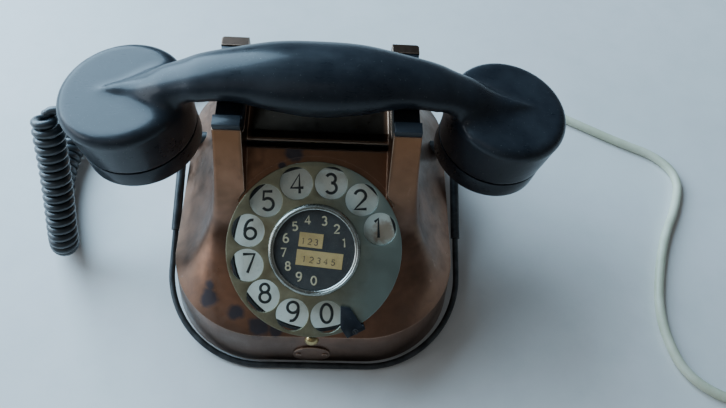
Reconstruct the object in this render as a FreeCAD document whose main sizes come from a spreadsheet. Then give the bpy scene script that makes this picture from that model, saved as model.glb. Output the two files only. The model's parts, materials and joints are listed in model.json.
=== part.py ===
"""Desk telephone with a rotary dial, a handset on a sprung cradle and a carrying bail.

Millimetres, +Z up. The origin is the middle of the footprint, on the table that the rubber
feet stand on. +X is to the right of a person who dials, and +Y is away from them.
"""
import FreeCAD, Part
import math
import os
from FreeCAD import Placement, Rotation, Vector

doc = FreeCAD.newDocument("desk_telephone")
sheet = doc.addObject("Spreadsheet::Sheet", "dims")

X_AXIS = Vector(1, 0, 0)
Z_AXIS = Vector(0, 0, 1)

# ---------------------------------------------------------------- driving dimensions
DRIVING = {
    # case: a skirt with a crisp shoulder, and above it a concave flank up to a tower
    "skirt_low": 1.5, "shoulder_level": 28.2, "base_half": 70.0, "shoulder_half": 68.25,
    "base_front": -75.0, "base_rear": 81.0, "shoulder_front": -73.2, "shoulder_rear": 79.0,
    "corner_front": 45.0, "corner_rear": 32.0, "sheet_wall": 1.2,
    "horn_inner": 31.4, "horn_front_top": 108.2, "horn_rear_top": 112.7,
    "deck_level": 89.5, "panel_edge_y": -5.5, "panel_edge_z": 85.6,
    # dial
    "dial_y": -45.2, "dial_z": 62.6, "dial_tilt": 33.5, "wheel_radius": 39.0,
    "wheel_thick": 1.2, "hole_radius": 7.25, "hole_circle": 30.5, "hole_first": 19.4,
    "hole_pitch": 29.2, "bezel_radius": 20.5, "window_radius": 18.0, "cup_radius": 38.2,
    "plate_radius": 36.5,
    # handset
    "handset_y": 7.0, "disc_top": 104.6, "neck_level": 79.4, "cap_low": 70.0, "cap_top": 79.0,
    "ear_x": 84.0, "ear_radius": 27.2, "ear_cap_radius": 25.5,
    "mouth_x": -84.8, "mouth_radius": 28.6, "mouth_cap_radius": 26.9, "housing_lean": 6.5,
    "saddle_level": 106.4,
    # carrying bail
    "bail_half": 72.4, "bail_wire": 1.5, "bail_front": -77.6, "pivot_y": 35.0,
    "pivot_z": 34.0, "bail_corner": 46.0, "sleeve_radius": 2.3, "sleeve_length": 37.0,
    "bail_shift": 0.6,
    # works inside
    "plate_thick": 1.5, "gong_radius": 20.0, "gong_x": 23.2, "gong_y": 42.0, "gong_top": 26.0,
    "gear_module": 0.8, "main_teeth": 45.0, "pinion_teeth": 10.0, "gear_thick": 1.6,
    # cords
    "line_diameter": 5.0, "curl_diameter": 15.0, "curl_strand": 4.6,
}
for row, (alias, value) in enumerate(DRIVING.items(), start=1):
    sheet.set(f"A{row}", alias)
    sheet.set(f"B{row}", str(value))
    sheet.setAlias(f"B{row}", alias)
doc.recompute()


def dim(alias):
    """The value of a driving dimension, read from the sheet."""
    return float(sheet.get(alias))


# ---------------------------------------------------------------- small helpers
SUB_PARTS = []


def bind(obj, prop, size):
    """Set a size: a number as it is, or an expression over the sheet's aliases."""
    if isinstance(size, str):
        obj.setExpression(prop, size)
    else:
        setattr(obj, prop, size)


def turned(axis):
    """The rotation that turns +Z onto an axis."""
    return Rotation(Z_AXIS, Vector(*axis))


def cylinder(radius, height, at=(0, 0, 0), axis=(0, 0, 1)):
    obj = doc.addObject("Part::Cylinder", "Cylinder")
    bind(obj, "Radius", radius)
    bind(obj, "Height", height)
    obj.Placement = Placement(Vector(*at), turned(axis))
    return obj


def cone(low, high, height, at=(0, 0, 0), axis=(0, 0, 1)):
    obj = doc.addObject("Part::Cone", "Cone")
    bind(obj, "Radius1", low)
    bind(obj, "Radius2", high)
    bind(obj, "Height", height)
    obj.Placement = Placement(Vector(*at), turned(axis))
    return obj


def box(length, width, height, corner):
    obj = doc.addObject("Part::Box", "Box")
    bind(obj, "Length", length)
    bind(obj, "Width", width)
    bind(obj, "Height", height)
    obj.Placement = Placement(Vector(*corner), Rotation())
    return obj


def sphere(radius, at):
    obj = doc.addObject("Part::Sphere", "Sphere")
    bind(obj, "Radius", radius)
    obj.Placement = Placement(Vector(*at), Rotation())
    return obj


def fuse(*shapes):
    obj = doc.addObject("Part::MultiFuse", "Fuse")
    obj.Shapes = list(shapes)
    return obj


def common(base, tool):
    obj = doc.addObject("Part::Common", "Common")
    obj.Base = base
    obj.Tool = tool
    return obj


def cut(base, *tools):
    obj = doc.addObject("Part::Cut", "Cut")
    obj.Base = base
    obj.Tool = tools[0] if len(tools) == 1 else fuse(*tools)
    return obj


def group(*shapes):
    """Separate solids kept together in one sub-part, such as a set of screws."""
    obj = doc.addObject("Part::Compound", "Group")
    obj.Links = list(shapes)
    return obj


def made(shape, name="Shape"):
    """An object whose shape is worked out below from the sheet's values."""
    obj = doc.addObject("Part::Feature", name)
    obj.Shape = shape
    return obj


def extruded(points, direction, name="Profile"):
    """A closed outline of straight edges, pushed along a direction."""
    corners = [Vector(*point) for point in points]
    face = Part.Face(Part.makePolygon(corners + [corners[0]]))
    return made(face.extrude(Vector(*direction)), name)


def tube(outer, inner, height, at=(0, 0, 0), axis=(0, 0, 1)):
    return cut(cylinder(outer, height, at, axis), cylinder(inner, height, at, axis))


def sub_part(label, obj, place=None):
    """Name a finished piece; place moves it from its own frame to the telephone's."""
    obj.Label = label
    if place is not None:
        obj.Placement = place.multiply(obj.Placement)
    SUB_PARTS.append(obj)
    return obj


# The dial's own frame: Z out of the finger wheel's middle plane, Y up the sloping face.
DIAL = Placement(Vector(0, dim("dial_y"), dim("dial_z")), Rotation(X_AXIS, dim("dial_tilt")))


def polar(radius, degrees):
    angle = math.radians(degrees)
    return radius * math.cos(angle), radius * math.sin(angle)


# ---------------------------------------------------------------- case
def rounded_section(level, half, front, rear, r_front, r_rear):
    """A level rounded rectangle: half width, front and rear Y, and its corner radii."""
    k = 1 - math.sqrt(0.5)
    edges = []
    corners = ((half, rear, r_rear, 1, 1), (-half, rear, r_rear, -1, 1),
               (-half, front, r_front, -1, -1), (half, front, r_front, 1, -1))
    starts = []
    for x, y, r, sx, sy in corners:
        along_x = Vector(x - sx * r, y, level)
        along_y = Vector(x, y - sy * r, level)
        middle = Vector(x - sx * r * k, y - sy * r * k, level)
        first, last = (along_y, along_x) if sx * sy > 0 else (along_x, along_y)
        starts.append((first, middle, last))
    for index, (first, middle, last) in enumerate(starts):
        edges.append(Part.Arc(first, middle, last).toShape())
        edges.append(Part.LineSegment(last, starts[(index + 1) % 4][0]).toShape())
    return made(Part.Wire(edges), "Section")


def lofted(sections, ruled=False):
    obj = doc.addObject("Part::Loft", "Loft")
    obj.Sections = sections
    obj.Solid = True
    obj.Ruled = ruled
    return obj


# level, half width, front, rear, front corner radius, rear corner radius
FLANK = (
    (34.0, 62.3, -64.4, 72.5, 31.0, 26.0), (40.5, 57.2, -54.6, 66.5, 19.8, 20.0),
    (47.0, 53.0, -44.8, 61.2, 13.0, 15.0), (52.0, 50.4, -37.7, 57.4, 8.4, 11.5),
    (57.5, 48.3, -32.6, 53.6, 5.2, 8.6), (64.0, 46.8, -29.6, 49.6, 3.4, 6.6),
)
TOWER = ((84.0, 44.6, -23.3, 40.2, 1.6, 3.4), (116.0, 43.4, -13.0, 32.0, 0.9, 1.4))


def case_solid(inset):
    """The case's outside, or with an inset the space inside its wall."""
    def section(level, half, front, rear, r_front, r_rear):
        small = 0.35
        return rounded_section(level, half - inset, front + inset, rear - inset,
                               max(r_front - inset, small), max(r_rear - inset, small))

    low = dim("skirt_low") - (1.0 if inset else 0.0)
    foot = (low, dim("base_half"), dim("base_front"), dim("base_rear"),
            dim("corner_front"), dim("corner_rear"))
    shoulder = (dim("shoulder_level") - inset, dim("shoulder_half"), dim("shoulder_front"),
                dim("shoulder_rear"), dim("corner_front"), dim("corner_rear"))
    flank = [shoulder]
    for row in FLANK:
        drop = inset * 0.9 * max(0.0, min(1.0, (64.0 - row[0]) / 20.0))
        flank.append((row[0] - drop,) + row[1:])
    tower = [flank[-1]] + list(TOWER)
    return fuse(lofted([section(*foot), section(*shoulder)], ruled=True),
                lofted([section(*row) for row in flank]),
                lofted([section(*row) for row in tower]))


def recess(extra):
    """The space between the horns: over the sloping panel and the top deck."""
    half = dim("horn_inner") + extra
    slope = math.tan(math.radians(dim("dial_tilt")))
    edge_y, edge_z = dim("panel_edge_y") - extra, dim("panel_edge_z") - extra
    deck = dim("deck_level") - extra
    start = -45.0
    outline = [(-half, start, edge_z + (start - edge_y) * slope), (-half, edge_y, edge_z),
               (-half, edge_y + 2.0, edge_z + 2.6), (-half, edge_y + 5.5, deck),
               (-half, 60.0, deck), (-half, 60.0, 140.0), (-half, start, 140.0)]
    return extruded(outline, (2 * half, 0, 0), "Recess")


SADDLE_FRONT, SADDLE_REAR, SADDLE_LOW = -13.5, 27.5, 99.2


def saddle_outline(grow):
    """The U that holds the grip, seen along X, open at the top."""
    front, rear, low = SADDLE_FRONT - grow, SADDLE_REAR + grow, SADDLE_LOW - grow
    bend = 8.0
    points = [(front, 140.0)]
    for centre, begin in ((front + bend, 180), (rear - bend, 270)):
        for step in range(5):
            angle = math.radians(begin + step * 22.5)
            points.append((centre + bend * math.cos(angle), low + bend + bend * math.sin(angle)))
    points.append((rear, 140.0))
    return points


def horn_trim(grow):
    """What is taken off the tower's top to leave the horns' two heights and their U."""
    half = 60.0
    low_front, low_rear = dim("horn_front_top") - grow, dim("horn_rear_top") - grow
    outline = [(-60.0, low_front)]
    outline += [(y, z) for y, z in saddle_outline(grow) if z < 139.0]
    outline.insert(1, (SADDLE_FRONT - grow, low_front))
    outline.append((SADDLE_REAR + grow, low_rear))
    outline += [(60.0, low_rear), (60.0, 140.0), (-60.0, 140.0)]
    return extruded([(-half, y, z) for y, z in outline], (2 * half, 0, 0), "Trim")


def case_shell():
    wall = dim("sheet_wall")
    outside = cut(case_solid(0.0), recess(0.0), horn_trim(0.0))
    behind_wheel = cylinder("dims.wheel_radius + 2.5", 40.0, (0, 0, -3.8))
    behind_wheel.Placement = DIAL.multiply(behind_wheel.Placement)
    inside = cut(case_solid(wall), recess(wall), horn_trim(wall), behind_wheel)
    dial_hole = cylinder("dims.cup_radius + 0.3", 30.0, (0, 0, -31.0))
    wheel_room = cylinder("dims.wheel_radius + 1.3", 40.0, (0, 0, -2.6))
    for tool in (dial_hole, wheel_room):
        tool.Placement = DIAL.multiply(tool.Placement)
    openings = [dial_hole, wheel_room]
    for side in (-1, 1):
        openings.append(cylinder(3.0, 12.0, (side * 37.4, 7.0, 92.0)))
        pivot = (side * 54.0, dim("pivot_y"), dim("pivot_z"))
        openings.append(cylinder(3.5, 18.0, pivot, (side, 0, 0)))
    openings.append(cylinder(4.0, 8.0, (LINE_EXIT_X, 76.0, GLAND_Z), (0, 1, 0)))
    openings.append(cylinder(4.0, 8.0, (-LINE_EXIT_X, 76.0, GLAND_Z), (0, 1, 0)))
    openings.append(cylinder(1.9, 8.0, (0, -77.0, FRONT_SCREW_Z), (0, 1, 0)))
    return sub_part("case_shell", cut(outside, inside, *openings))


LINE_EXIT_X = 42.0
GLAND_Z = 9.5
FRONT_SCREW_Z = 25.8
FEET = ((-48.0, -48.0), (48.0, -48.0), (-54.0, 58.0), (54.0, 58.0))


def base_plate():
    wall = dim("sheet_wall") + 0.25
    low, high = dim("skirt_low"), dim("skirt_low") + dim("plate_thick")
    levels = []
    for level in (low, high):
        levels.append(rounded_section(level, dim("base_half") - wall, dim("base_front") + wall,
                                      dim("base_rear") - wall, dim("corner_front") - wall,
                                      dim("corner_rear") - wall))
    holes = [cylinder(1.6, 6.0, (x, y, 0.0)) for x, y in FEET]
    return sub_part("base_plate", cut(lofted(levels, ruled=True), *holes))


def rubber_feet():
    feet = [tube(7.0, 3.3, "dims.skirt_low", (x, y, 0.0)) for x, y in FEET]
    return sub_part("rubber_feet", group(*feet))


def base_screws():
    screws = []
    for x, y in FEET:
        head = cylinder(3.0, 1.0, (x, y, 0.5))
        shank = cylinder(1.5, 5.0, (x, y, 1.5))
        slot = box(7.0, 0.8, 0.5, (x - 3.5, y - 0.4, 0.5))
        screws.append(cut(fuse(head, shank), slot))
    return sub_part("base_screws", group(*screws))


def front_face_y(level):
    """Y of the skirt's front at a level, which leans in a little towards the shoulder."""
    span = dim("shoulder_level") - dim("skirt_low")
    share = (level - dim("skirt_low")) / span
    return dim("base_front") + share * (dim("shoulder_front") - dim("base_front"))


def case_screw_front():
    face = front_face_y(FRONT_SCREW_Z) - 0.3
    head = cylinder(3.2, 1.6, (0, face, FRONT_SCREW_Z), (0, -1, 0))
    shank = cylinder(1.7, 5.0, (0, face, FRONT_SCREW_Z), (0, 1, 0))
    slot = box(7.0, 0.8, 0.9, (-3.5, face - 1.6, FRONT_SCREW_Z - 0.45))
    return sub_part("case_screw_front", cut(fuse(head, shank), slot))


BADGE_Z = 11.0


def badge_plate():
    """A blank oval plate on the skirt, under the dial."""
    lean = Rotation(X_AXIS, 90.0 - 3.8)
    oval = doc.addObject("Part::Ellipse", "Oval")
    oval.MajorRadius = 8.8
    oval.MinorRadius = 7.4
    plate = doc.addObject("Part::Extrusion", "Badge")
    plate.Base = oval
    plate.Dir = Z_AXIS
    plate.LengthFwd = 0.8
    plate.Solid = True
    holes = [cylinder(0.8, 3.0, (side * 6.3, 0, -1.0)) for side in (-1, 1)]
    place = Placement(Vector(0, front_face_y(BADGE_Z) - 0.12, BADGE_Z), lean)
    return sub_part("badge_plate", cut(plate, *holes), place)


def badge_rivets():
    lean = Rotation(X_AXIS, 90.0 - 3.8)
    rivets = []
    for side in (-1, 1):
        shank = cylinder(0.75, 0.75, (side * 6.3, 0, 0.05))
        head = cylinder(1.3, 0.5, (side * 6.3, 0, 0.8))
        rivets.append(fuse(shank, head))
    place = Placement(Vector(0, front_face_y(BADGE_Z) - 0.12, BADGE_Z), lean)
    return sub_part("badge_rivets", group(*rivets), place)


# ---------------------------------------------------------------- dial, fixed pieces
def dial_cup():
    wall = tube("dims.cup_radius", "dims.cup_radius - 1.2", 18.0, (0, 0, -24.0))
    shelf = tube("dims.cup_radius - 1.2", 30.0, 1.2, (0, 0, -8.2))
    return sub_part("dial_cup", fuse(wall, shelf), DIAL)


PLATE_SHIFT = (0.4, 0.2)


def number_plate():
    at = (PLATE_SHIFT[0], PLATE_SHIFT[1], -6.9)
    return sub_part("number_plate", tube("dims.plate_radius", 21.0, 0.9, at), DIAL)


STOP_ANGLE = -61.5


def finger_stop():
    """A post outside the wheel's rim and a curved finger that reaches in over the holes."""
    post = box(2.1, 9.0, 15.5, (39.5, -4.5, -12.6))
    arm = extruded([(27.5, -0.8, 1.5), (36.0, -5.2, 1.5), (41.6, -4.5, 1.5),
                    (41.6, 4.5, 1.5), (36.5, 3.4, 1.5), (30.0, 2.6, 1.5)], (0, 0, 1.4), "Arm")
    hole = cylinder(0.75, 6.0, (40.55, 0, -0.5))
    turn = Placement(Vector(), Rotation(Z_AXIS, STOP_ANGLE))
    return sub_part("finger_stop", cut(fuse(post, arm), hole), DIAL.multiply(turn))


def finger_stop_screw():
    shank = cylinder(0.7, 3.3, (40.55, 0, -0.4))
    head = cylinder(1.2, 0.6, (40.55, 0, 2.9))
    slot = box(3.4, 0.3, 0.3, (38.9, -0.15, 3.2))
    turn = Placement(Vector(), Rotation(Z_AXIS, STOP_ANGLE))
    return sub_part("finger_stop_screw", cut(fuse(shank, head), slot), DIAL.multiply(turn))


ARBOR = polar(0.5 * dim("gear_module") * (dim("main_teeth") + dim("pinion_teeth")), -90.0)
PILLARS = [polar(28.0, angle) for angle in (30.0, 150.0, 205.0, 335.0)]
FRAME_W, BACK_W = -11.0, -31.0


def dial_frame():
    """The front plate of the dial's works, screwed under the cup's shelf."""
    disc = cylinder("dims.cup_radius - 1.35", 1.5, (0, 0, FRAME_W))
    holes = [cylinder(3.05, 4.0, (0, 0, FRAME_W - 1)),
             cylinder(1.05, 4.0, (ARBOR[0], ARBOR[1], FRAME_W - 1))]
    return sub_part("dial_frame", cut(disc, *holes), DIAL)


def dial_pillars():
    height = FRAME_W - (BACK_W + 1.5)
    posts = [cylinder(2.0, height, (x, y, BACK_W + 1.5)) for x, y in PILLARS]
    return sub_part("dial_pillars", group(*posts), DIAL)


def dial_back_plate():
    disc = cylinder(31.5, 1.5, (0, 0, BACK_W))
    holes = [cylinder(3.05, 4.0, (0, 0, BACK_W - 1)),
             cylinder(1.05, 4.0, (ARBOR[0], ARBOR[1], BACK_W - 1))]
    return sub_part("dial_back_plate", cut(disc, *holes), DIAL)


def spring_barrel():
    """The closed drum on the back plate that holds the return spring."""
    low = BACK_W + 1.5
    drum = cut(cylinder(13.0, 7.0, (0, 0, low)), cylinder(12.2, 5.4, (0, 0, low + 0.8)),
               cylinder(3.05, 9.0, (0, 0, low - 1.0)))
    return sub_part("spring_barrel", drum, DIAL)


def main_spring():
    """A flat spiral of spring steel, wound round the shaft inside its drum."""
    inner, outer, turns, thick, steps = 4.2, 11.6, 5, 0.35, 120
    outline = []
    for side in (0.0, thick):
        row = []
        for index in range(steps + 1):
            share = index / steps
            angle = 2 * math.pi * turns * share
            radius = inner + (outer - inner) * share + side
            row.append(Vector(radius * math.cos(angle), radius * math.sin(angle), 0))
        outline.append(row)
    first = Part.BSplineCurve()
    first.interpolate(outline[0])
    second = Part.BSplineCurve()
    second.interpolate(outline[1])
    ends = [Part.LineSegment(outline[0][-1], outline[1][-1]).toShape(),
            Part.LineSegment(outline[1][0], outline[0][0]).toShape()]
    wire = Part.Wire(Part.__sortEdges__([first.toShape(), second.toShape()] + ends))
    strip = Part.Face(wire).extrude(Vector(0, 0, 4.6))
    strip.translate(Vector(0, 0, BACK_W + 2.7))
    return sub_part("main_spring", made(strip, "Spiral"), DIAL)


def governor_cup():
    x, y = ARBOR
    low = BACK_W + 1.5
    return sub_part("governor_cup", tube(7.5, 6.6, 5.0, (x, y, low)), DIAL)


def pulse_contacts():
    """Two leaf springs on an insulating block, opened by the cam as it turns."""
    x, y = ARBOR
    block = box(7.0, 6.0, 2.1, (x + 9.0, y + 1.0, FRAME_W - 2.2))
    leaves = [box(15.0, 0.3, 1.4, (x - 6.0, y + 3.6 + 1.4 * step, FRAME_W - 1.9))
              for step in range(2)]
    return sub_part("pulse_contacts", fuse(block, *leaves), DIAL)


# ---------------------------------------------------------------- dial, turning pieces
def finger_wheel():
    disc = cylinder("dims.wheel_radius", "dims.wheel_thick", (0, 0, -0.6))
    holes = []
    for number in range(10):
        x, y = polar(dim("hole_circle"), dim("hole_first") + number * dim("hole_pitch"))
        holes.append(cylinder("dims.hole_radius", 4.0, (x, y, -2.0)))
    holes.append(cylinder(3.0, 4.0, (0, 0, -2.0)))
    return sub_part("finger_wheel", cut(disc, *holes), DIAL)


def centre_bezel():
    ring = tube("dims.bezel_radius", "dims.window_radius", 2.6, (0, 0, 0.6))
    return sub_part("centre_bezel", ring, DIAL)


def centre_window():
    return sub_part("centre_window", cylinder("dims.window_radius - 0.05", 0.6, (0, 0, 2.2)), DIAL)


def centre_card():
    disc = cylinder("dims.window_radius - 0.1", 0.4, (0, 0, 1.2))
    return sub_part("centre_card", disc, DIAL)


def centre_labels():
    """Two slips of paper for the exchange's and the set's own numbers."""
    slips = []
    for corner, size in (((-7.3, 0.9), (10.6, 6.4)), ((-7.6, -7.3), (20.6, 6.9))):
        slip = box(size[0], size[1], 0.15, (corner[0], corner[1], 1.6))
        slips.append(slip)
    turn = Placement(Vector(), Rotation(Z_AXIS, -5.0))
    return sub_part("centre_labels", group(*slips), DIAL.multiply(turn))


def dial_shaft():
    low = BACK_W - 1.5
    shaft = cylinder(2.97, 1.0 - low, (0, 0, low))
    collar = cylinder(9.0, 1.6, (0, 0, -2.2))
    return sub_part("dial_shaft", fuse(shaft, collar), DIAL)


GEAR_W = -15.5


def gear_outline(teeth, mate_gap, phase):
    """An involute gear's face: mate_gap thins each tooth so that the pair runs free."""
    module = dim("gear_module")
    pitch_radius = 0.5 * module * teeth
    pressure = math.radians(20.0)
    base_radius = pitch_radius * math.cos(pressure)
    tip, root = pitch_radius + 0.8 * module, pitch_radius - 1.15 * module
    half_pitch = math.pi / (2 * teeth) - 0.5 * mate_gap / pitch_radius
    inv_pitch = math.tan(pressure) - pressure
    flank = []
    for step in range(6):
        radius = root + (tip - root) * step / 5
        inside = max(radius, base_radius)
        slope = math.acos(min(1.0, base_radius / inside))
        flank.append((radius, half_pitch + inv_pitch - (math.tan(slope) - slope)))
    points = []
    for tooth in range(int(teeth)):
        centre = 2 * math.pi * tooth / teeth + phase
        for radius, half in flank:
            points.append((radius, centre - half))
        for radius, half in reversed(flank):
            points.append((radius, centre + half))
    return [Vector(r * math.cos(a), r * math.sin(a), 0) for r, a in points]


def gear(teeth, phase, thick, bore):
    corners = gear_outline(teeth, 0.22, phase)
    face = Part.Face(Part.makePolygon(corners + [corners[0]]))
    blank = made(face.extrude(Vector(0, 0, thick)), "Gear")
    return cut(blank, cylinder(bore, thick + 2, (0, 0, -1)))


def main_gear():
    """The wheel on the dial's shaft, with a tooth pointing at the arbor."""
    wheel = gear(dim("main_teeth"), math.radians(-90.0), dim("gear_thick"), 2.99)
    wheel.Placement = Placement(Vector(0, 0, GEAR_W), Rotation())
    hub = tube(6.0, 2.99, 1.4, (0, 0, GEAR_W + dim("gear_thick")))
    return sub_part("main_gear", fuse(wheel, hub), DIAL)


def governor_arbor():
    """The fast arbor: its pinion has a gap facing the main gear's tooth."""
    x, y = ARBOR
    half_tooth = math.pi / dim("pinion_teeth")
    corners = gear_outline(dim("pinion_teeth"), 0.22, math.radians(90.0) + half_tooth)
    face = Part.Face(Part.makePolygon(corners + [corners[0]]))
    teeth = made(face.extrude(Vector(0, 0, dim("gear_thick") + 1.0)), "Pinion")
    teeth.Placement = Placement(Vector(x, y, GEAR_W - 0.5), Rotation())
    spindle = cylinder(0.98, 24.5, (x, y, BACK_W - 1.0))
    return sub_part("governor_arbor", fuse(teeth, spindle), DIAL)


def pulse_cam():
    x, y = ARBOR
    cam = common(cylinder(3.2, 1.4, (x, y, FRAME_W - 2.0)),
                 box(7.0, 4.4, 1.4, (x - 3.5, y - 2.2, FRAME_W - 2.0)))
    return sub_part("pulse_cam", cut(cam, cylinder(0.99, 4.0, (x, y, FRAME_W - 3.0))), DIAL)


def governor_weights():
    """Two weights on a cross bar, turning inside the governor cup."""
    x, y = ARBOR
    low = BACK_W + 2.2
    bar = box(11.0, 2.6, 1.0, (x - 5.5, y - 1.3, low + 1.6))
    weights = [cylinder(1.5, 3.4, (x + side * 4.6, y, low)) for side in (-1, 1)]
    hub = cylinder(1.9, 4.0, (x, y, low))
    bore = cylinder(0.99, 8.0, (x, y, low - 1.0))
    return sub_part("governor_weights", cut(fuse(bar, hub, *weights), bore), DIAL)


# ---------------------------------------------------------------- ringer and circuit
CLAPPER_Y, CLAPPER_Z = 21.5, 20.0


def ringer_frame():
    floor = dim("skirt_low") + dim("plate_thick")
    strip = box(62.0, 48.0, 1.5, (-31.0, CLAPPER_Y - 25.5, floor))
    yoke = box(28.0, 2.0, 22.0, (-14.0, CLAPPER_Y - 25.5, floor))
    pin = cylinder(1.0, 20.5, (0, CLAPPER_Y, floor))
    posts = [cylinder(3.0, "dims.gong_top - 1.6 - dims.skirt_low - dims.plate_thick",
                      (side * dim("gong_x"), dim("gong_y"), floor)) for side in (-1, 1)]
    tails = [box(8.0, 6.0, 1.5, (side * dim("gong_x") - 4.0, 42.0, floor)) for side in (-1, 1)]
    return sub_part("ringer_frame", fuse(strip, yoke, pin, *posts, *tails))


def ringer_coils():
    coils = []
    for side in (-1, 1):
        winding = cylinder(6.2, 15.0, (side * 8.0, CLAPPER_Y - 21.9, CLAPPER_Z - 4), (0, 1, 0))
        cheeks = [cylinder(7.2, 1.2, (side * 8.0, CLAPPER_Y - y, CLAPPER_Z - 4), (0, 1, 0))
                  for y in (23.1, 7.3)]
        bore = cylinder(2.6, 20.0, (side * 8.0, CLAPPER_Y - 24.5, CLAPPER_Z - 4), (0, 1, 0))
        coils.append(cut(fuse(winding, *cheeks), bore))
    return sub_part("ringer_coils", group(*coils))


def ringer_cores():
    cores = [cylinder(2.5, 20.8, (side * 8.0, CLAPPER_Y - 23.4, CLAPPER_Z - 4), (0, 1, 0))
             for side in (-1, 1)]
    return sub_part("ringer_cores", group(*cores))


def gong(label, side):
    """A cup-shaped gong, open at the bottom, with rounded shoulders."""
    radius, top = dim("gong_radius"), dim("gong_top")
    outline = [(3.2, top - 1.5), (3.2, top), (radius - 5.0, top), (radius - 1.4, top - 3.6),
               (radius, top - 12.0), (radius - 1.5, top - 12.0), (radius - 2.9, top - 4.6),
               (radius - 5.6, top - 1.5)]
    corners = [Vector(r, 0, z) for r, z in outline]
    face = Part.Face(Part.makePolygon(corners + [corners[0]]))
    shape = face.revolve(Vector(0, 0, 0), Z_AXIS, 360.0)
    shape.translate(Vector(side * dim("gong_x"), dim("gong_y"), 0))
    return sub_part(label, made(shape, "Gong"))


def gong_screws():
    screws = []
    for side in (-1, 1):
        x, y, top = side * dim("gong_x"), dim("gong_y"), dim("gong_top")
        head = cylinder(4.4, 1.8, (x, y, top + 0.05))
        neck = cylinder(3.0, 1.55, (x, y, top - 1.5))
        slot = box(9.0, 0.9, 0.8, (x - 4.5, y - 0.45, top + 1.1))
        screws.append(cut(fuse(head, neck), slot))
    return sub_part("gong_screws", group(*screws))


def clapper_armature():
    bar = box(26.0, 2.2, 8.0, (-13.0, CLAPPER_Y - 1.1, CLAPPER_Z - 8.0))
    boss = cylinder(2.2, 8.0, (0, CLAPPER_Y, CLAPPER_Z - 8.0))
    bore = cylinder(1.06, 12.0, (0, CLAPPER_Y, CLAPPER_Z - 10.0))
    socket = cylinder(0.81, 3.0, (0, CLAPPER_Y + 1.6, CLAPPER_Z - 3.0), (0, 1, 0))
    return sub_part("clapper_armature", cut(fuse(bar, boss), bore, socket))


def clapper_ball():
    reach = dim("gong_y") - CLAPPER_Y
    rod = cylinder(0.8, reach - 1.7, (0, CLAPPER_Y + 1.7, CLAPPER_Z - 3.0), (0, 1, 0))
    ball = sphere(2.2, (0, dim("gong_y"), CLAPPER_Z - 3.0))
    return sub_part("clapper_ball", fuse(rod, ball))


def induction_coil():
    at = (-44.0, -22.0, 12.5)
    core = cylinder(3.5, 46.0, (at[0], at[1] - 2.0, at[2]), (0, 1, 0))
    winding = cylinder(8.0, 38.0, (at[0], at[1] + 2.0, at[2]), (0, 1, 0))
    cheeks = [box(18.0, 2.0, 18.4, (at[0] - 9.0, at[1] + y, at[2] - 9.4)) for y in (0.0, 40.0)]
    return sub_part("induction_coil", fuse(core, winding, *cheeks))


def capacitor():
    can = box(18.0, 40.0, 17.0, (35.0, -24.0, 3.1))
    tabs = [box(1.0, 4.0, 4.0, (40.0 + step, -26.0, 20.1)) for step in (0.0, 7.0)]
    feet = [box(1.0, 3.9, 4.0, (40.0 + step, -24.0, 20.0)) for step in (0.0, 7.0)]
    return sub_part("capacitor", fuse(can, *tabs, *feet))


TERMINAL_XS = [-24.5 + 7.0 * step for step in range(8)]


def terminal_block():
    block = box(60.0, 11.0, 9.0, (-30.0, 65.0, 3.0))
    holes = [cylinder(1.25, 6.0, (x, 70.5, 7.0)) for x in TERMINAL_XS]
    return sub_part("terminal_block", cut(block, *holes))


def terminal_screws():
    screws = []
    for x in TERMINAL_XS:
        head = cylinder(2.3, 1.5, (x, 70.5, 12.1))
        shank = cylinder(1.2, 4.6, (x, 70.5, 7.6))
        screws.append(fuse(head, shank))
    return sub_part("terminal_screws", group(*screws))


def hook_contacts():
    """The hook switch: leaf springs under the cradle's cross bar, hung from the top deck."""
    hanger = box(24.0, 1.6, 27.0, (-12.0, 16.5, 60.8))
    lug = box(24.0, 8.0, 1.2, (-12.0, 16.5, 86.6))
    block = box(20.0, 8.0, 8.0, (-10.0, 8.5, 60.8))
    leaves = [box(4.0, 0.4, 6.6, (-9.0 + 7.0 * step, 9.2, 68.7)) for step in range(3)]
    return sub_part("hook_contacts", fuse(hanger, lug, block, *leaves))


# ---------------------------------------------------------------- cradle
def saddle(label, side):
    """A black liner in the horn's U, with a lip over the front horn and a stem below."""
    inner_x = 31.7 if side > 0 else -43.1
    width = 11.4
    gap = 0.15
    outer = [(inner_x, y, z) for y, z in saddle_outline(-gap) if z < 139.0]
    front, rear = SADDLE_FRONT + gap, SADDLE_REAR - gap
    outer = [(inner_x, front, 111.6)] + outer + [(inner_x, rear, 112.2)]
    rest = dim("saddle_level")
    seat = [(inner_x - 1, y, z) for y, z in ((front + 2.2, 130.0), (front + 3.2, rest + 2.6),
            (front + 7.0, rest), (rear - 7.0, rest), (rear - 3.2, rest + 2.6), (rear - 2.2, 130.0))]
    liner = cut(extruded(outer, (width, 0, 0), "Liner"), extruded(seat, (width + 2, 0, 0), "Seat"))
    lip = box(width, 4.2, 3.1, (inner_x, -15.5, dim("horn_front_top") + 0.3))
    stem = cylinder(2.9, 24.0, (side * 37.4, 7.0, 76.0))
    return sub_part(label, fuse(liner, lip, stem))


def cradle_yoke():
    bar = box(83.0, 9.0, 3.0, (-41.5, 2.5, 76.0))
    holes = [cylinder(2.92, 6.0, (side * 37.4, 7.0, 74.0)) for side in (-1, 1)]
    return sub_part("cradle_yoke", cut(bar, *holes))


# ---------------------------------------------------------------- handset
def leaning(shape, end):
    """Turn what was made upright at one end, "ear" or "mouth", so its cap leans inwards."""
    x = dim(end + "_x")
    angle = dim("housing_lean") if x > 0 else -dim("housing_lean")
    pivot = Vector(x, dim("handset_y"), dim("disc_top"))
    turn = Placement(Vector(), Rotation(Vector(0, 1, 0), angle), pivot)
    shape.Placement = turn.multiply(shape.Placement)
    return shape


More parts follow.
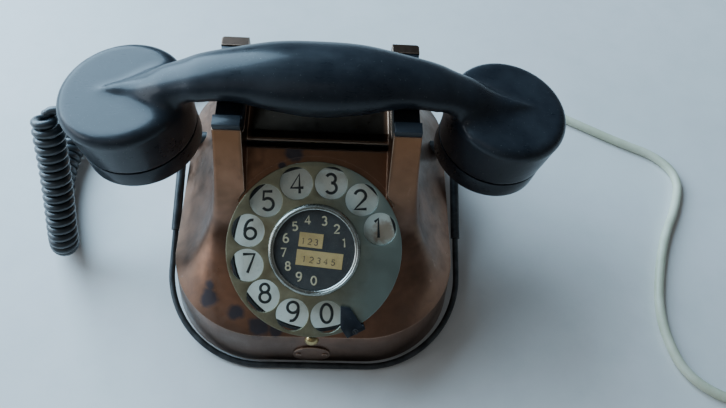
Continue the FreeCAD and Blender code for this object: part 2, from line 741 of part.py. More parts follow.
def housing(end):
    x, y = dim(end + "_x"), dim("handset_y")
    wide = f"dims.{end}_radius"
    shell = cone(f"dims.{end}_cap_radius - 0.2", wide, 22.0, (x, y, dim("neck_level")))
    crown = cylinder(wide, "dims.disc_top - dims.neck_level - 22",
                     (x, y, dim("neck_level") + 22.0))
    neck = cylinder(23.2, 6.4, (x, y, dim("neck_level") - 6.4))
    pocket = cylinder(22.0, 26.0, (x, y, 71.0))
    return leaning(fuse(shell, crown, neck), end), leaning(pocket, end)


# The grip's oval sections: distance from the middle, centre level, half depth, half height.
GRIP = ((0.0, 116.0, 17.0, 14.0), (18.0, 116.9, 15.8, 12.6), (36.0, 116.8, 12.6, 9.4),
        (52.0, 113.2, 11.0, 8.2), (68.0, 106.6, 10.0, 7.6), (86.0, 97.6, 8.0, 6.4))


def handset_grip():
    sections = []
    for x, level, half_y, half_z in [(-row[0],) + row[1:] for row in GRIP[:0:-1]] + list(GRIP):
        oval = doc.addObject("Part::Ellipse", "GripSection")
        oval.MajorRadius = half_y
        oval.MinorRadius = half_z
        centre = Vector(x, dim("handset_y"), level)
        oval.Placement = Placement(centre, Rotation(Vector(1, 1, 1), 120))
        sections.append(oval)
    return lofted(sections)


def handset_body():
    grip = handset_grip()
    left, left_pocket = housing("mouth")
    right, right_pocket = housing("ear")
    bush_hole = cylinder(4.05, 12.0, (-104.0, CURL_EXIT[1], CURL_EXIT[2]), (-1, 0, 0))
    body = cut(fuse(grip, left, right), left_pocket, right_pocket, bush_hole)
    return sub_part("handset_body", body)


def capsule_cap(end, rings):
    """A screwed cap with rings of small holes; rings lists (radius, number of holes)."""
    x, y = dim(end + "_x"), dim("handset_y")
    shell = cylinder(f"dims.{end}_cap_radius", "dims.cap_top - dims.cap_low",
                     (x, y, dim("cap_low")))
    bore = cylinder(23.3, 7.0, (x, y, dim("cap_low") + 2.4))
    holes = [cylinder(1.1, 4.0, (x, y, dim("cap_low") - 1.0))]
    for radius, number in rings:
        for index in range(number):
            dx, dy = polar(radius, 360.0 * index / number)
            holes.append(cylinder(1.1, 4.0, (x + dx, y + dy, dim("cap_low") - 1.0)))
    return sub_part(end + "_cap", leaning(cut(shell, bore, *holes), end))


def capsule(label, end, height):
    x, y = dim(end + "_x"), dim("handset_y")
    can = cylinder(21.4, height, (x, y, 74.0))
    step = cylinder(16.0, 2.0, (x, y, 74.0 + height))
    return sub_part(label, leaning(fuse(can, step), end))


CURL_EXIT = (-110.5, 7.0, 88.0)


def handset_cord_bush():
    bush = tube(4.0, 2.35, 8.0, (-104.5, CURL_EXIT[1], CURL_EXIT[2]), (-1, 0, 0))
    return sub_part("handset_cord_bush", bush)


# ---------------------------------------------------------------- carrying bail
def rounded_path(points, share=0.45):
    """Straight runs joined by tangent arcs; returns the wire and the arcs' radii."""
    edges = []
    radii = []
    start = Vector(*points[0])
    for index in range(1, len(points) - 1):
        before, corner, after = [Vector(*points[index + step]) for step in (-1, 0, 1)]
        into = (corner - before).normalize()
        away = (after - corner).normalize()
        turn = into.getAngle(away)
        reach = share * min((corner - before).Length, (after - corner).Length)
        radius = reach / math.tan(turn / 2)
        first = corner - into * reach
        last = corner + away * reach
        middle_way = (away - into).normalize()
        middle = corner + middle_way * (radius / math.cos(turn / 2) - radius)
        edges.append(Part.LineSegment(start, first).toShape())
        edges.append(Part.Arc(first, middle, last).toShape())
        radii.append(radius)
        start = last
    edges.append(Part.LineSegment(start, Vector(*points[-1])).toShape())
    return Part.Wire(edges), radii


def swept_tube(points, diameter, name, share=0.45):
    """A round tube along a route, with its volume compared with section times length."""
    wire, radii = rounded_path(points, share)
    into = (Vector(*points[1]) - Vector(*points[0])).normalize()
    ring = Part.Wire(Part.makeCircle(diameter / 2, Vector(*points[0]), into))
    shape = wire.makePipeShell([ring], True, False, 0)
    expected = math.pi * (diameter / 2) ** 2 * wire.Length
    print(f"{name}: length {wire.Length:.0f}, volume share {abs(shape.Volume) / expected:.3f}, "
          f"radii {[round(radius, 1) for radius in radii]}")
    return made(shape, name)


BAIL_HUB = 60.0


def bail_point(x, y):
    """A point of the bail's flat frame, which slopes down from the pivots to the table."""
    slope = (dim("pivot_z") - dim("bail_wire")) / (dim("pivot_y") - dim("bail_front"))
    return x, y, dim("pivot_z") + (y - dim("pivot_y")) * slope


def bail_wire():
    half, front, corner = dim("bail_half"), dim("bail_front"), dim("bail_corner")
    mid = corner * (1 - math.sqrt(0.5))
    pivot_y, pivot_z = dim("pivot_y"), dim("pivot_z")
    bend, shift = 3.0, dim("bail_shift")
    edges = []
    for side in (-1, 1):
        hub = Vector(side * BAIL_HUB, pivot_y, pivot_z)
        turn_in = Vector(shift + side * (half - bend), pivot_y, pivot_z)
        turn_out = Vector(*bail_point(shift + side * half, pivot_y - bend))
        turn_mid = Vector(*bail_point(shift + side * (half - bend * 0.293), pivot_y - bend * 0.293))
        arm_end = Vector(*bail_point(shift + side * half, front + corner))
        bow_mid = Vector(*bail_point(shift + side * (half - mid), front + mid))
        bow_end = Vector(*bail_point(shift + side * (half - corner), front))
        run = [Part.LineSegment(hub, turn_in).toShape(), Part.Arc(turn_in, turn_mid, turn_out).toShape(),
               Part.LineSegment(turn_out, arm_end).toShape(),
               Part.Arc(arm_end, bow_mid, bow_end).toShape()]
        edges.append(run)
    bar = Part.LineSegment(Vector(*bail_point(shift + corner - half, front)),
                           Vector(*bail_point(shift + half - corner, front))).toShape()
    path = Part.Wire(edges[0] + [bar] + list(reversed(edges[1])))
    ring = Part.Wire(Part.makeCircle(dim("bail_wire"), Vector(-BAIL_HUB, pivot_y, pivot_z), X_AXIS))
    return sub_part("bail_wire", made(path.makePipeShell([ring], True, False, 0), "Bail"))


def bail_sleeves():
    sleeves = []
    slope_up = Vector(*bail_point(0, dim("bail_front"))) - Vector(*bail_point(0, dim("pivot_y")))
    for side in (-1, 1):
        start = bail_point(dim("bail_shift") + side * dim("bail_half"), dim("pivot_y") - 13.0)
        sleeves.append(tube("dims.sleeve_radius", "dims.bail_wire + 0.02", "dims.sleeve_length",
                            start, tuple(slope_up)))
    return sub_part("bail_sleeves", group(*sleeves))


def bail_bosses():
    bosses = []
    for side in (-1, 1):
        pivot_y, pivot_z = dim("pivot_y"), dim("pivot_z")
        flange = cylinder(4.4, 1.4, (side * 67.1, pivot_y, pivot_z), (side, 0, 0))
        spigot = cylinder(3.45, 12.0, (side * 56.5, pivot_y, pivot_z), (side, 0, 0))
        bore = cylinder("dims.bail_wire + 0.06", 20.0, (side * 55.0, pivot_y, pivot_z), (side, 0, 0))
        bosses.append(cut(fuse(flange, spigot), bore))
    return sub_part("bail_bosses", group(*bosses))


# ---------------------------------------------------------------- cords
def line_cord_gland():
    """A tapered strain relief behind the case."""
    body = cone(4.6, 3.3, 17.0, (LINE_EXIT_X, 81.4, GLAND_Z), (0, 1, 0))
    neck = cylinder(3.9, 5.5, (LINE_EXIT_X, 76.5, GLAND_Z), (0, 1, 0))
    bore = cylinder("dims.line_diameter / 2 + 0.02", 40.0, (LINE_EXIT_X, 70.0, GLAND_Z), (0, 1, 0))
    return sub_part("line_cord_gland", cut(fuse(body, neck), bore))


def handset_cord_gland():
    body = cone(4.6, 3.6, 9.0, (-LINE_EXIT_X, 81.4, GLAND_Z), (0, 1, 0))
    neck = cylinder(3.9, 5.5, (-LINE_EXIT_X, 76.5, GLAND_Z), (0, 1, 0))
    bore = cylinder("dims.curl_strand / 2 + 0.02", 20.0, (-LINE_EXIT_X, 74.0, GLAND_Z), (0, 1, 0))
    return sub_part("handset_cord_gland", cut(fuse(body, neck), bore))


# Route of the line cord from its strain relief, over the table, to the stored coil.
LINE_ROUTE = (
    (42.0, 98.4, 9.5), (42.6, 106.5, 8.2), (48.5, 115.5, 3.6), (62.0, 119.4, 2.5),
    (84.0, 116.0, 2.5), (107.0, 106.5, 2.5), (131.0, 95.4, 2.5), (156.0, 82.2, 2.5),
    (183.0, 67.3, 2.5), (205.5, 57.5, 2.5), (215.5, 42.0, 2.5), (209.0, 22.0, 2.5),
    (197.0, 1.0, 2.5), (189.0, -22.0, 2.5), (184.2, -42.0, 2.5), (184.4, -60.0, 2.5),
    (190.0, -79.0, 2.5), (207.0, -91.0, 2.5), (223.4, -92.4, 2.5),
)
COIL_CENTRE = (243.0, -124.0)
COIL_INNER, COIL_OUTER, COIL_HIGH = 19.8, 35.0, 10.0

# Route of the curled cord: a bare strand out of the handset, then the curl's middle line.
STRAND_ROUTE = ((-112.8, 7.0, 88.0), (-117.2, 6.9, 88.7), (-120.3, 6.0, 87.4), (-121.2, 4.4, 83.6))
CURL_ROUTE = (
    (-121.2, 4.4, 83.6), (-122.6, -8.0, 54.0), (-125.2, -22.5, 24.5), (-129.5, -18.5, 8.4),
    (-136.5, -1.0, 8.2), (-141.5, 24.0, 8.0), (-139.5, 50.0, 8.0), (-126.0, 75.0, 8.0),
    (-102.0, 92.0, 8.0), (-75.0, 102.5, 8.0), (-53.0, 106.0, 8.6),
)
TAIL_ROUTE = ((-53.0, 106.0, 8.6), (-45.0, 104.5, 9.0), (-42.0, 98.0, 9.5), (-42.0, 90.4, 9.5))


def line_cord():
    return sub_part("line_cord", swept_tube(LINE_ROUTE, dim("line_diameter"), "LineCord"))


def line_cord_coil():
    x, y = COIL_CENTRE
    return sub_part("line_cord_coil", tube(COIL_OUTER, COIL_INNER, COIL_HIGH, (x, y, 0.0)))


def line_plug():
    """A round plug that lies inside the stored coil."""
    x, y = COIL_CENTRE
    tail = cone(3.2, 5.0, 8.0, (x - 20.2, y, 8.2), (1, 0, 0))
    body = cylinder(8.0, 20.0, (x - 12.2, y, 8.2), (1, 0, 0))
    pins = [cylinder(1.6, 9.0, (x + 7.6, y + side * 3.6, 8.2), (1, 0, 0)) for side in (-1, 1)]
    return sub_part("line_plug", fuse(tail, body, *pins))


def handset_cord():
    strand = swept_tube(STRAND_ROUTE, dim("curl_strand"), "Strand")
    curl = swept_tube(CURL_ROUTE, dim("curl_diameter"), "Curl")
    tail = swept_tube(TAIL_ROUTE, dim("curl_strand"), "Tail")
    return sub_part("handset_cord", group(strand, curl, tail))


def build():
    case_shell()
    base_plate()
    rubber_feet()
    base_screws()
    case_screw_front()
    badge_plate()
    badge_rivets()
    for piece in (dial_cup, number_plate, finger_stop, finger_stop_screw, dial_frame, dial_pillars,
                  dial_back_plate, spring_barrel, main_spring, governor_cup, pulse_contacts,
                  finger_wheel, centre_bezel, centre_window, centre_card, centre_labels,
                  dial_shaft, main_gear, governor_arbor, pulse_cam, governor_weights):
        piece()
    for piece in (ringer_frame, ringer_coils, ringer_cores, gong_screws, clapper_armature,
                  clapper_ball, induction_coil, capacitor, terminal_block, terminal_screws,
                  hook_contacts):
        piece()
    gong("gong_left", -1)
    gong("gong_right", 1)
    saddle("saddle_left", -1)
    saddle("saddle_right", 1)
    cradle_yoke()
    handset_body()
    capsule_cap("ear", ((6.0, 6), (12.0, 12)))
    capsule_cap("mouth", ((5.0, 6), (10.0, 12), (15.0, 18)))
    capsule("receiver_capsule", "ear", 14.0)
    capsule("transmitter_capsule", "mouth", 10.0)
    handset_cord_bush()
    bail_wire()
    bail_sleeves()
    bail_bosses()
    line_cord_gland()
    handset_cord_gland()
    line_cord()
    line_cord_coil()
    line_plug()
    handset_cord()


def check_and_export():
    doc.recompute()
    faults = [obj.Name for obj in doc.Objects if "Invalid" in obj.State or "Error" in obj.State]
    for obj in SUB_PARTS:
        if obj.Shape.isNull() or not obj.Shape.isValid() or not obj.Shape.Solids:
            faults.append(obj.Label)
    if faults:
        raise RuntimeError(f"not sound: {faults}")
    os.makedirs("parts", exist_ok=True)
    for obj in SUB_PARTS:
        obj.Shape.exportStep(f"parts/{obj.Label}.step")
    print(f"{len(SUB_PARTS)} sub-parts written")


build()
check_and_export()
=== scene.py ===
"""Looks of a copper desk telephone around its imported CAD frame. Lengths are in metres."""
import bpy
import bmesh
import json
import math
from mathutils import Matrix, Vector


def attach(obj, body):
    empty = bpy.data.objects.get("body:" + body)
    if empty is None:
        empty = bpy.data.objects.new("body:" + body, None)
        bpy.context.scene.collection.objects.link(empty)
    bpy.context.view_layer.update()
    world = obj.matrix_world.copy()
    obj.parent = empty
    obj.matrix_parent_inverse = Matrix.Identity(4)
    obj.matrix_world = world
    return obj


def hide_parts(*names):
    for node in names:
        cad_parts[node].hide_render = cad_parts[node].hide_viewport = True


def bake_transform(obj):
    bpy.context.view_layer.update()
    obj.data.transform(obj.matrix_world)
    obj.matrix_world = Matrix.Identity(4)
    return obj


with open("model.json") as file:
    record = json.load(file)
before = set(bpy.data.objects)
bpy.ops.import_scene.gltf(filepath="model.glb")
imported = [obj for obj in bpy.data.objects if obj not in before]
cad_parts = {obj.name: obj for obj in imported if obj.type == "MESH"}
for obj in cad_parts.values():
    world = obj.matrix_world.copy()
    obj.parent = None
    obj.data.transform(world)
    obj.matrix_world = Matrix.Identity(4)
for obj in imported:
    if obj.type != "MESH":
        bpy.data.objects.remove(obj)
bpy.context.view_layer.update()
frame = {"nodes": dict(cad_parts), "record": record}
MM = 0.001


def mm(*values):
    """A point given in millimetres, as a vector in metres."""
    return Vector(values) * MM


# ---------------------------------------------------------------- stage: camera, floor, light
def aim_camera():
    elevation, azimuth, roll = (math.radians(v) for v in (58.245, 6.270, 7.275))
    level = Vector((math.cos(azimuth), -math.sin(azimuth), 0))
    forward = Vector((math.sin(azimuth) * math.cos(elevation),
                      math.cos(azimuth) * math.cos(elevation), -math.sin(elevation)))
    lift = level.cross(forward)
    right = level * math.cos(roll) + lift * math.sin(roll)
    up = lift * math.cos(roll) - level * math.sin(roll)
    data = bpy.data.cameras.new("camera")
    data.lens = 34.71
    data.sensor_width = 36.0
    camera = bpy.data.objects.new("camera", data)
    axes = Matrix((right, up, -forward)).transposed().to_4x4()
    camera.matrix_world = Matrix.Translation(mm(2.975, -190.591, 339.020)) @ axes
    bpy.context.collection.objects.link(camera)
    bpy.context.scene.camera = camera


def area_light(name, at, towards, size, power, colour):
    data = bpy.data.lights.new(name, "AREA")
    data.shape = "RECTANGLE"
    data.size, data.size_y = size
    data.energy = power
    data.color = colour
    lamp = bpy.data.objects.new(name, data)
    lamp.location = at
    lamp.rotation_euler = (Vector(towards) - Vector(at)).to_track_quat("-Z", "Y").to_euler()
    bpy.context.collection.objects.link(lamp)


def add_lights():
    area_light("window", (-0.88, 0.70, 0.78), (-0.02, 0.0, 0.03), (1.3, 1.3), 62.0, (0.50, 0.76, 1.0))
    area_light("low window", (-1.1, -0.05, 0.42), (0, -0.02, 0.03), (0.9, 0.5), 5.0, (0.80, 0.90, 1.0))
    area_light("fill", (-0.5, -0.9, 1.0), (0, 0, 0.05), (1.0, 1.0), 0.8, (1.0, 0.93, 0.84))
    world = bpy.data.worlds.new("room")
    world.use_nodes = True
    background = world.node_tree.nodes["Background"]
    background.inputs["Color"].default_value = (0.58, 0.66, 0.72, 1)
    background.inputs["Strength"].default_value = 0.20
    bpy.context.scene.world = world


# ---------------------------------------------------------------- materials
class Shade:
    """A material being built: its principled shader and short calls for its nodes."""

    def __init__(self, name, colour, roughness, metallic=0.0, coat=0.0):
        self.material = bpy.data.materials.new(name)
        self.material.use_nodes = True
        self.tree = self.material.node_tree
        self.shader = self.tree.nodes["Principled BSDF"]
        self.set("Base Color", (*colour, 1))
        self.set("Roughness", roughness)
        self.set("Metallic", metallic)
        if coat:
            self.set("Coat Weight", coat)
            self.set("Coat Roughness", 0.08)
        self.places = self.tree.nodes.new("ShaderNodeTexCoord").outputs["Object"]

    def set(self, socket, value):
        self.shader.inputs[socket].default_value = value

    def link(self, output, socket):
        self.tree.links.new(output, self.shader.inputs[socket])

    def node(self, kind, inputs=None, **settings):
        made = self.tree.nodes.new(kind)
        for key, value in settings.items():
            setattr(made, key, value)
        for key, value in (inputs or {}).items():
            if isinstance(value, bpy.types.NodeSocket):
                self.tree.links.new(value, made.inputs[key])
            else:
                made.inputs[key].default_value = value
        return made

    def noise(self, scale, detail=3.0, rough=0.55, distortion=0.0, at=None):
        inputs = {"Vector": at or self.places, "Scale": scale, "Detail": detail,
                  "Roughness": rough, "Distortion": distortion}
        return self.node("ShaderNodeTexNoise", inputs).outputs["Fac"]

    def stretched(self, scale):
        return self.node("ShaderNodeMapping", {"Vector": self.places, "Scale": scale}).outputs[0]

    def ramp(self, value, low, high, to_low=0.0, to_high=1.0):
        inputs = {"Value": value, "From Min": low, "From Max": high,
                  "To Min": to_low, "To Max": to_high}
        return self.node("ShaderNodeMapRange", inputs, clamp=True).outputs["Result"]

    def mix(self, share, first, second):
        made = self.node("ShaderNodeMix", data_type="RGBA")
        for socket, value in ((made.inputs["Factor"], share), (made.inputs[6], first),
                              (made.inputs[7], second)):
            if isinstance(value, bpy.types.NodeSocket):
                self.tree.links.new(value, socket)
            elif isinstance(value, tuple):
                socket.default_value = (*value, 1)
            else:
                socket.default_value = value
        return made.outputs[2]

    def maths(self, operation, first, second=0.0):
        return self.node("ShaderNodeMath", {0: first, 1: second}, operation=operation).outputs[0]

    def bump(self, height, distance, strength=0.5, normal=None):
        inputs = {"Height": height, "Distance": distance, "Strength": strength}
        if normal:
            inputs["Normal"] = normal
        made = self.node("ShaderNodeBump", inputs).outputs["Normal"]
        self.link(made, "Normal")
        return made

    def spot(self, centre, radius, warp):
        """1 inside a blotch round a point, 0 outside, with an uneven edge."""
        inputs = {0: self.places, 1: tuple(centre)}
        away = self.node("ShaderNodeVectorMath", inputs, operation="DISTANCE").outputs["Value"]
        wavy = self.maths("MULTIPLY", self.maths("SUBTRACT", warp, 0.5), radius * 1.5)
        return self.ramp(self.maths("ADD", away, wavy), radius * 0.62, radius * 1.12, 1.0, 0.0)

    def edges(self, radius, low, high):
        """1 on sharp edges, 0 on flat faces, from how far a rounded normal turns."""
        rounded = self.node("ShaderNodeBevel", {"Radius": radius}, samples=6).outputs["Normal"]
        true = self.node("ShaderNodeNewGeometry").outputs["Normal"]
        dot = self.node("ShaderNodeVectorMath", {0: rounded, 1: true}, operation="DOT_PRODUCT")
        return self.ramp(dot.outputs["Value"], 1.0 - low, 1.0 - high, 0.0, 1.0)


def copper_material():
    """Old copper sheet: brown tarnish, rubbed pinkish patches, dark stains, painted shade between the
    horns, and bright edges that are partly rubbed metal and partly painted highlight.
    """
    look = Shade("old copper", (0.45, 0.22, 0.14), 0.36, metallic=1.0)
    broad = look.noise(22.0, 4.0, 0.6, 0.4)
    cloud = look.noise(85.0, 6.0, 0.65, 0.8)
    fine = look.noise(900.0, 3.0, 0.6)
    brushed = look.noise(260.0, 4.0, 0.7, at=look.stretched((1.0, 1.0, 0.12)))
    base = look.mix(look.ramp(broad, 0.38, 0.62), (0.130, 0.076, 0.052), (0.310, 0.165, 0.108))
    base = look.mix(look.ramp(cloud, 0.52, 0.78, 0.0, 0.75), base, (0.190, 0.115, 0.088))
    base = look.mix(look.ramp(cloud, 0.36, 0.22, 0.0, 0.6), base, (0.42, 0.27, 0.20))
    height = look.node("ShaderNodeSeparateXYZ", {0: look.places}).outputs["Z"]
    low_down = look.ramp(height, 0.030, 0.020, 0.0, 0.62)
    base = look.mix(low_down, base, (0.185, 0.130, 0.105))
    high_up = look.ramp(height, 0.060, 0.105, 0.0, 0.75)
    base = look.mix(high_up, base, (0.255, 0.105, 0.044))
    inward = look.node("ShaderNodeSeparateXYZ", {0: look.places}).outputs["X"]
    # Painted shade: the panel and the deck between the horns are darkened in colour for the handset's
    # shadow over them.
    between_horns = look.ramp(look.maths("ABSOLUTE", inward), 0.033, 0.029)
    panel_painted_shade = look.maths("MULTIPLY", between_horns, look.ramp(height, 0.060, 0.086, 0.0, 0.45))
    base = look.mix(panel_painted_shade, base, (0.070, 0.046, 0.028))
    deck_painted_shade = look.maths("MULTIPLY", between_horns, look.ramp(height, 0.0852, 0.0885, 0.0, 0.95))
    base = look.mix(deck_painted_shade, base, (0.010, 0.009, 0.007))
    base = look.mix(look.ramp(height, 0.1116, 0.1123, 0.0, 0.85), base, (0.040, 0.034, 0.030))
    warp = look.noise(150.0, 2.5, 0.5)
    stains = None
    for centre, radius in STAINS:
        blotch = look.spot(centre, radius, warp)
        stains = blotch if stains is None else look.maths("MAXIMUM", stains, blotch)
    base = look.mix(look.maths("MULTIPLY", stains, 0.86), base, (0.052, 0.056, 0.070))
    specks = look.ramp(look.noise(1500.0, 2.0, 0.5), 0.70, 0.76, 0.0, 0.7)
    base = look.mix(specks, base, (0.10, 0.075, 0.06))
    # Lighter edges: partly rubbed copper, partly a painted highlight along the shoulder and panel edges.
    edge_wear_and_highlight = look.edges(0.0009, 0.02, 0.16)
    base = look.mix(look.maths("MULTIPLY", edge_wear_and_highlight, 0.55), base, (0.80, 0.56, 0.41))
    look.link(base, "Base Color")
    rough = look.ramp(cloud, 0.3, 0.7, 0.27, 0.46)
    rough = look.maths("ADD", rough, look.ramp(brushed, 0.3, 0.7, -0.04, 0.06))
    rough = look.maths("ADD", rough, look.maths("MULTIPLY", stains, 0.12))
    look.link(rough, "Roughness")
    relief = look.maths("ADD", look.maths("MULTIPLY", brushed, 0.35), look.maths("MULTIPLY", fine, 0.3))
    relief = look.maths("ADD", relief, look.maths("MULTIPLY", broad, 2.5))
    round_edges = look.node("ShaderNodeBevel", {"Radius": 0.0008}, samples=4).outputs["Normal"]
    look.bump(relief, 0.00025, 0.5, round_edges)
    return look.material


def bakelite_material():
    """Black bakelite with a soft polish, hairline scratches and a little dust."""
    look = Shade("black bakelite", (0.014, 0.017, 0.022), 0.3, coat=0.1)
    look.set("Specular IOR Level", 0.25)
    cloud = look.noise(60.0, 5.0, 0.6)
    scratch = look.noise(700.0, 3.0, 0.7, at=look.stretched((0.12, 1.0, 1.0)))
    dust = look.ramp(look.noise(2600.0, 1.0, 0.4), 0.775, 0.80)
    base = look.mix(look.ramp(cloud, 0.35, 0.7), (0.010, 0.013, 0.018), (0.024, 0.028, 0.034))
    base = look.mix(look.maths("MULTIPLY", dust, 0.6), base, (0.42, 0.42, 0.40))
    # Lighter bluish edges: partly rubbed bakelite, partly a painted highlight.
    edge_wear_and_highlight = look.edges(0.0006, 0.03, 0.2)
    base = look.mix(look.maths("MULTIPLY", edge_wear_and_highlight, 0.25), base, (0.10, 0.12, 0.14))
    look.link(base, "Base Color")
    rough = look.maths("ADD", look.ramp(cloud, 0.3, 0.7, 0.24, 0.34),
                       look.ramp(scratch, 0.35, 0.7, 0.0, 0.08))
    look.link(rough, "Roughness")
    look.bump(look.maths("ADD", cloud, look.maths("MULTIPLY", scratch, 0.15)), 0.0002, 0.25)
    return look.material


def metal_material(name, dark, light, rough, patch=60.0, grain=(1.0, 1.0, 1.0), metallic=1.0, specks=0.0,
                   speck_colour=(0.12, 0.07, 0.04), sheen_tint=None):
    """Worn metal: two tones in patches, a grain, pits, rubbed edges and, when a sheen tint is given, a
    painted sheen towards +X.
    """
    look = Shade(name, light, rough, metallic=metallic)
    cloud = look.noise(patch, 5.0, 0.6, 0.3)
    streak = look.noise(900.0, 3.0, 0.7, at=look.stretched(grain))
    base = look.mix(look.ramp(cloud, 0.34, 0.66), dark, light)
    base = look.mix(look.ramp(streak, 0.45, 0.8, 0.0, 0.35), base, dark)
    if specks:
        pits = look.ramp(look.noise(1300.0, 3.0, 0.6), 0.66, 0.72, 0.0, specks)
        base = look.mix(pits, base, speck_colour)
    # Painted sheen: a greener-blue tone mixed in towards the piece's +X side, standing in for a
    # reflection of the bluish light.
    if sheen_tint:
        across = look.node("ShaderNodeSeparateXYZ", {0: look.places}).outputs["X"]
        sheen_drift = look.maths("ADD", across, look.maths("MULTIPLY", cloud, 0.02))
        base = look.mix(look.ramp(sheen_drift, 0.012, 0.036, 0.0, 0.85), base, sheen_tint)
    brighter = tuple(min(1.0, 2.0 * c + 0.08) for c in light)
    base = look.mix(look.maths("MULTIPLY", look.edges(0.0004, 0.03, 0.2), 0.6), base, brighter)
    look.link(base, "Base Color")
    look.link(look.ramp(cloud, 0.3, 0.7, rough - 0.06, rough + 0.1), "Roughness")
    look.bump(streak, 0.00006, 0.35)
    return look.material


def plain_material(name, first, second, rough, scale=120.0, relief=0.0001, coat=0.0, grain=(1, 1, 1)):
    """A non-metal with two tones, an uneven polish and a fine relief."""
    look = Shade(name, first, rough, coat=coat)
    cloud = look.noise(scale, 5.0, 0.6)
    fine = look.noise(scale * 14, 3.0, 0.6, at=look.stretched(grain))
    look.link(look.mix(look.ramp(cloud, 0.35, 0.65), first, second), "Base Color")
    look.link(look.ramp(fine, 0.3, 0.7, rough - 0.05, rough + 0.08), "Roughness")
    look.bump(fine, relief, 0.4)
    return look.material


def enamel_material():
    """Aged enamel: pale grey-green with brown stains near the first hole."""
    look = Shade("aged enamel", (0.62, 0.66, 0.60), 0.25, coat=0.4)
    cloud = look.noise(90.0, 5.0, 0.6, 0.4)
    base = look.mix(look.ramp(cloud, 0.35, 0.65), (0.80, 0.83, 0.72), (0.90, 0.91, 0.80))
    rust = look.spot(dial_point(31.0, 8.0, -6.0), 0.0055, look.noise(300.0, 5.0, 0.65))
    base = look.mix(look.maths("MULTIPLY", rust, 0.7), base, (0.42, 0.25, 0.13))
    crack = look.ramp(look.noise(1500.0, 2.0, 0.5), 0.68, 0.74, 0.0, 0.4)
    base = look.mix(crack, base, (0.35, 0.33, 0.26))
    look.link(base, "Base Color")
    look.link(look.ramp(cloud, 0.3, 0.7, 0.2, 0.36), "Roughness")
    look.bump(look.noise(180.0, 3.0), 0.0002, 0.3)
    return look.material


def paper_material(name, colour, darker):
    look = Shade(name, colour, 0.8)
    fibre = look.noise(1600.0, 4.0, 0.7, at=look.stretched((0.4, 1.0, 1.0)))
    cloud = look.noise(140.0, 4.0, 0.6)
    base = look.mix(look.ramp(cloud, 0.4, 0.7), colour, darker)
    base = look.mix(look.ramp(fibre, 0.5, 0.8, 0.0, 0.3), base, darker)
    look.link(base, "Base Color")
    look.bump(fibre, 0.00005, 0.4)
    return look.material


def window_material():
    """A clear cover: mostly see-through, with its own gloss and faint scratches."""
    look = Shade("clear cover", (0.25, 0.28, 0.28), 0.08, coat=0.2)
    haze = look.ramp(look.noise(160.0, 4.0, 0.6), 0.4, 0.75, 0.02, 0.06)
    look.link(haze, "Alpha")
    look.link(look.ramp(look.noise(900.0, 3.0, 0.6), 0.3, 0.7, 0.05, 0.14), "Roughness")
    return look.material


def floor_material():
    look = Shade("pale floor", (0.68, 0.68, 0.68), 0.5)
    cloud = look.noise(4.0, 5.0, 0.55)
    fleck = look.noise(55.0, 5.0, 0.6)
    base = look.mix(look.ramp(cloud, 0.35, 0.65), (0.67, 0.65, 0.63), (0.78, 0.76, 0.735))
    base = look.mix(look.ramp(fleck, 0.45, 0.75, 0.0, 0.25), base, (0.56, 0.56, 0.55))
    look.link(base, "Base Color")
    return look.material


# ---------------------------------------------------------------- dial frame
DIAL_TILT = math.radians(33.5)
DIAL = Matrix.Translation(mm(0, -45.2, 62.6)) @ Matrix.Rotation(DIAL_TILT, 4, "X")
HOLE_FIRST, HOLE_PITCH, HOLE_CIRCLE, HOLE_RADIUS = 19.4, 29.2, 30.5, 7.25


def dial_point(x, y, w):
    """A point of the dial's own plane, in millimetres, as a point of the frame."""
    return DIAL @ mm(x, y, w)


def polar(radius, degrees):
    angle = math.radians(degrees)
    return radius * math.cos(angle), radius * math.sin(angle)


# Blotches on the case: centre and radius.
STAINS = (
    (mm(-49.0, -58.0, 35.5), 0.0048), (mm(-47.0, -52.0, 38.5), 0.0030), (mm(-35.5, -63.5, 33.0), 0.0042),
    (mm(-24.0, -69.5, 30.0), 0.0058), (mm(-17.5, -70.0, 29.8), 0.0036), (mm(-11.0, -8.5, 84.0), 0.0038),
    (mm(-8.5, -5.5, 86.0), 0.0028), (mm(-15.5, -13.0, 80.5), 0.0020), (mm(53.5, -38.0, 52.0), 0.0024),
)


# ---------------------------------------------------------------- mesh helpers
def add_piece(name, mesh, body, material, node=()):
    piece = bpy.data.objects.new(name, mesh)
    bpy.context.collection.objects.link(piece)
    mesh.materials.clear()
    mesh.materials.append(material)
    if body:
        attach(piece, body)
    if node:
        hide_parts(*node)
    return piece


def smooth(mesh, degrees=None):
    """Smooth faces; with an angle, edges sharper than it stay crisp."""
    mesh.polygons.foreach_set("use_smooth", [True] * len(mesh.polygons))
    if degrees:
        mesh.set_sharp_from_angle(angle=math.radians(degrees))
    return mesh


def applied(piece):
    """The piece's mesh with its modifiers worked in."""
    graph = bpy.context.evaluated_depsgraph_get()
    made = bpy.data.meshes.new_from_object(piece.evaluated_get(graph))
    piece.modifiers.clear()
    old = piece.data
    piece.data = made
    bpy.data.meshes.remove(old)
    return made


def mesh_from(name, points, faces):
    mesh = bpy.data.meshes.new(name)
    mesh.from_pydata([tuple(p) for p in points], [], faces)
    mesh.validate()
    mesh.update()
    return mesh


def normals_out(mesh):
    work = bmesh.new()
    work.from_mesh(mesh)
    bmesh.ops.recalc_face_normals(work, faces=work.faces)
    work.to_mesh(mesh)
    work.free()
    return mesh


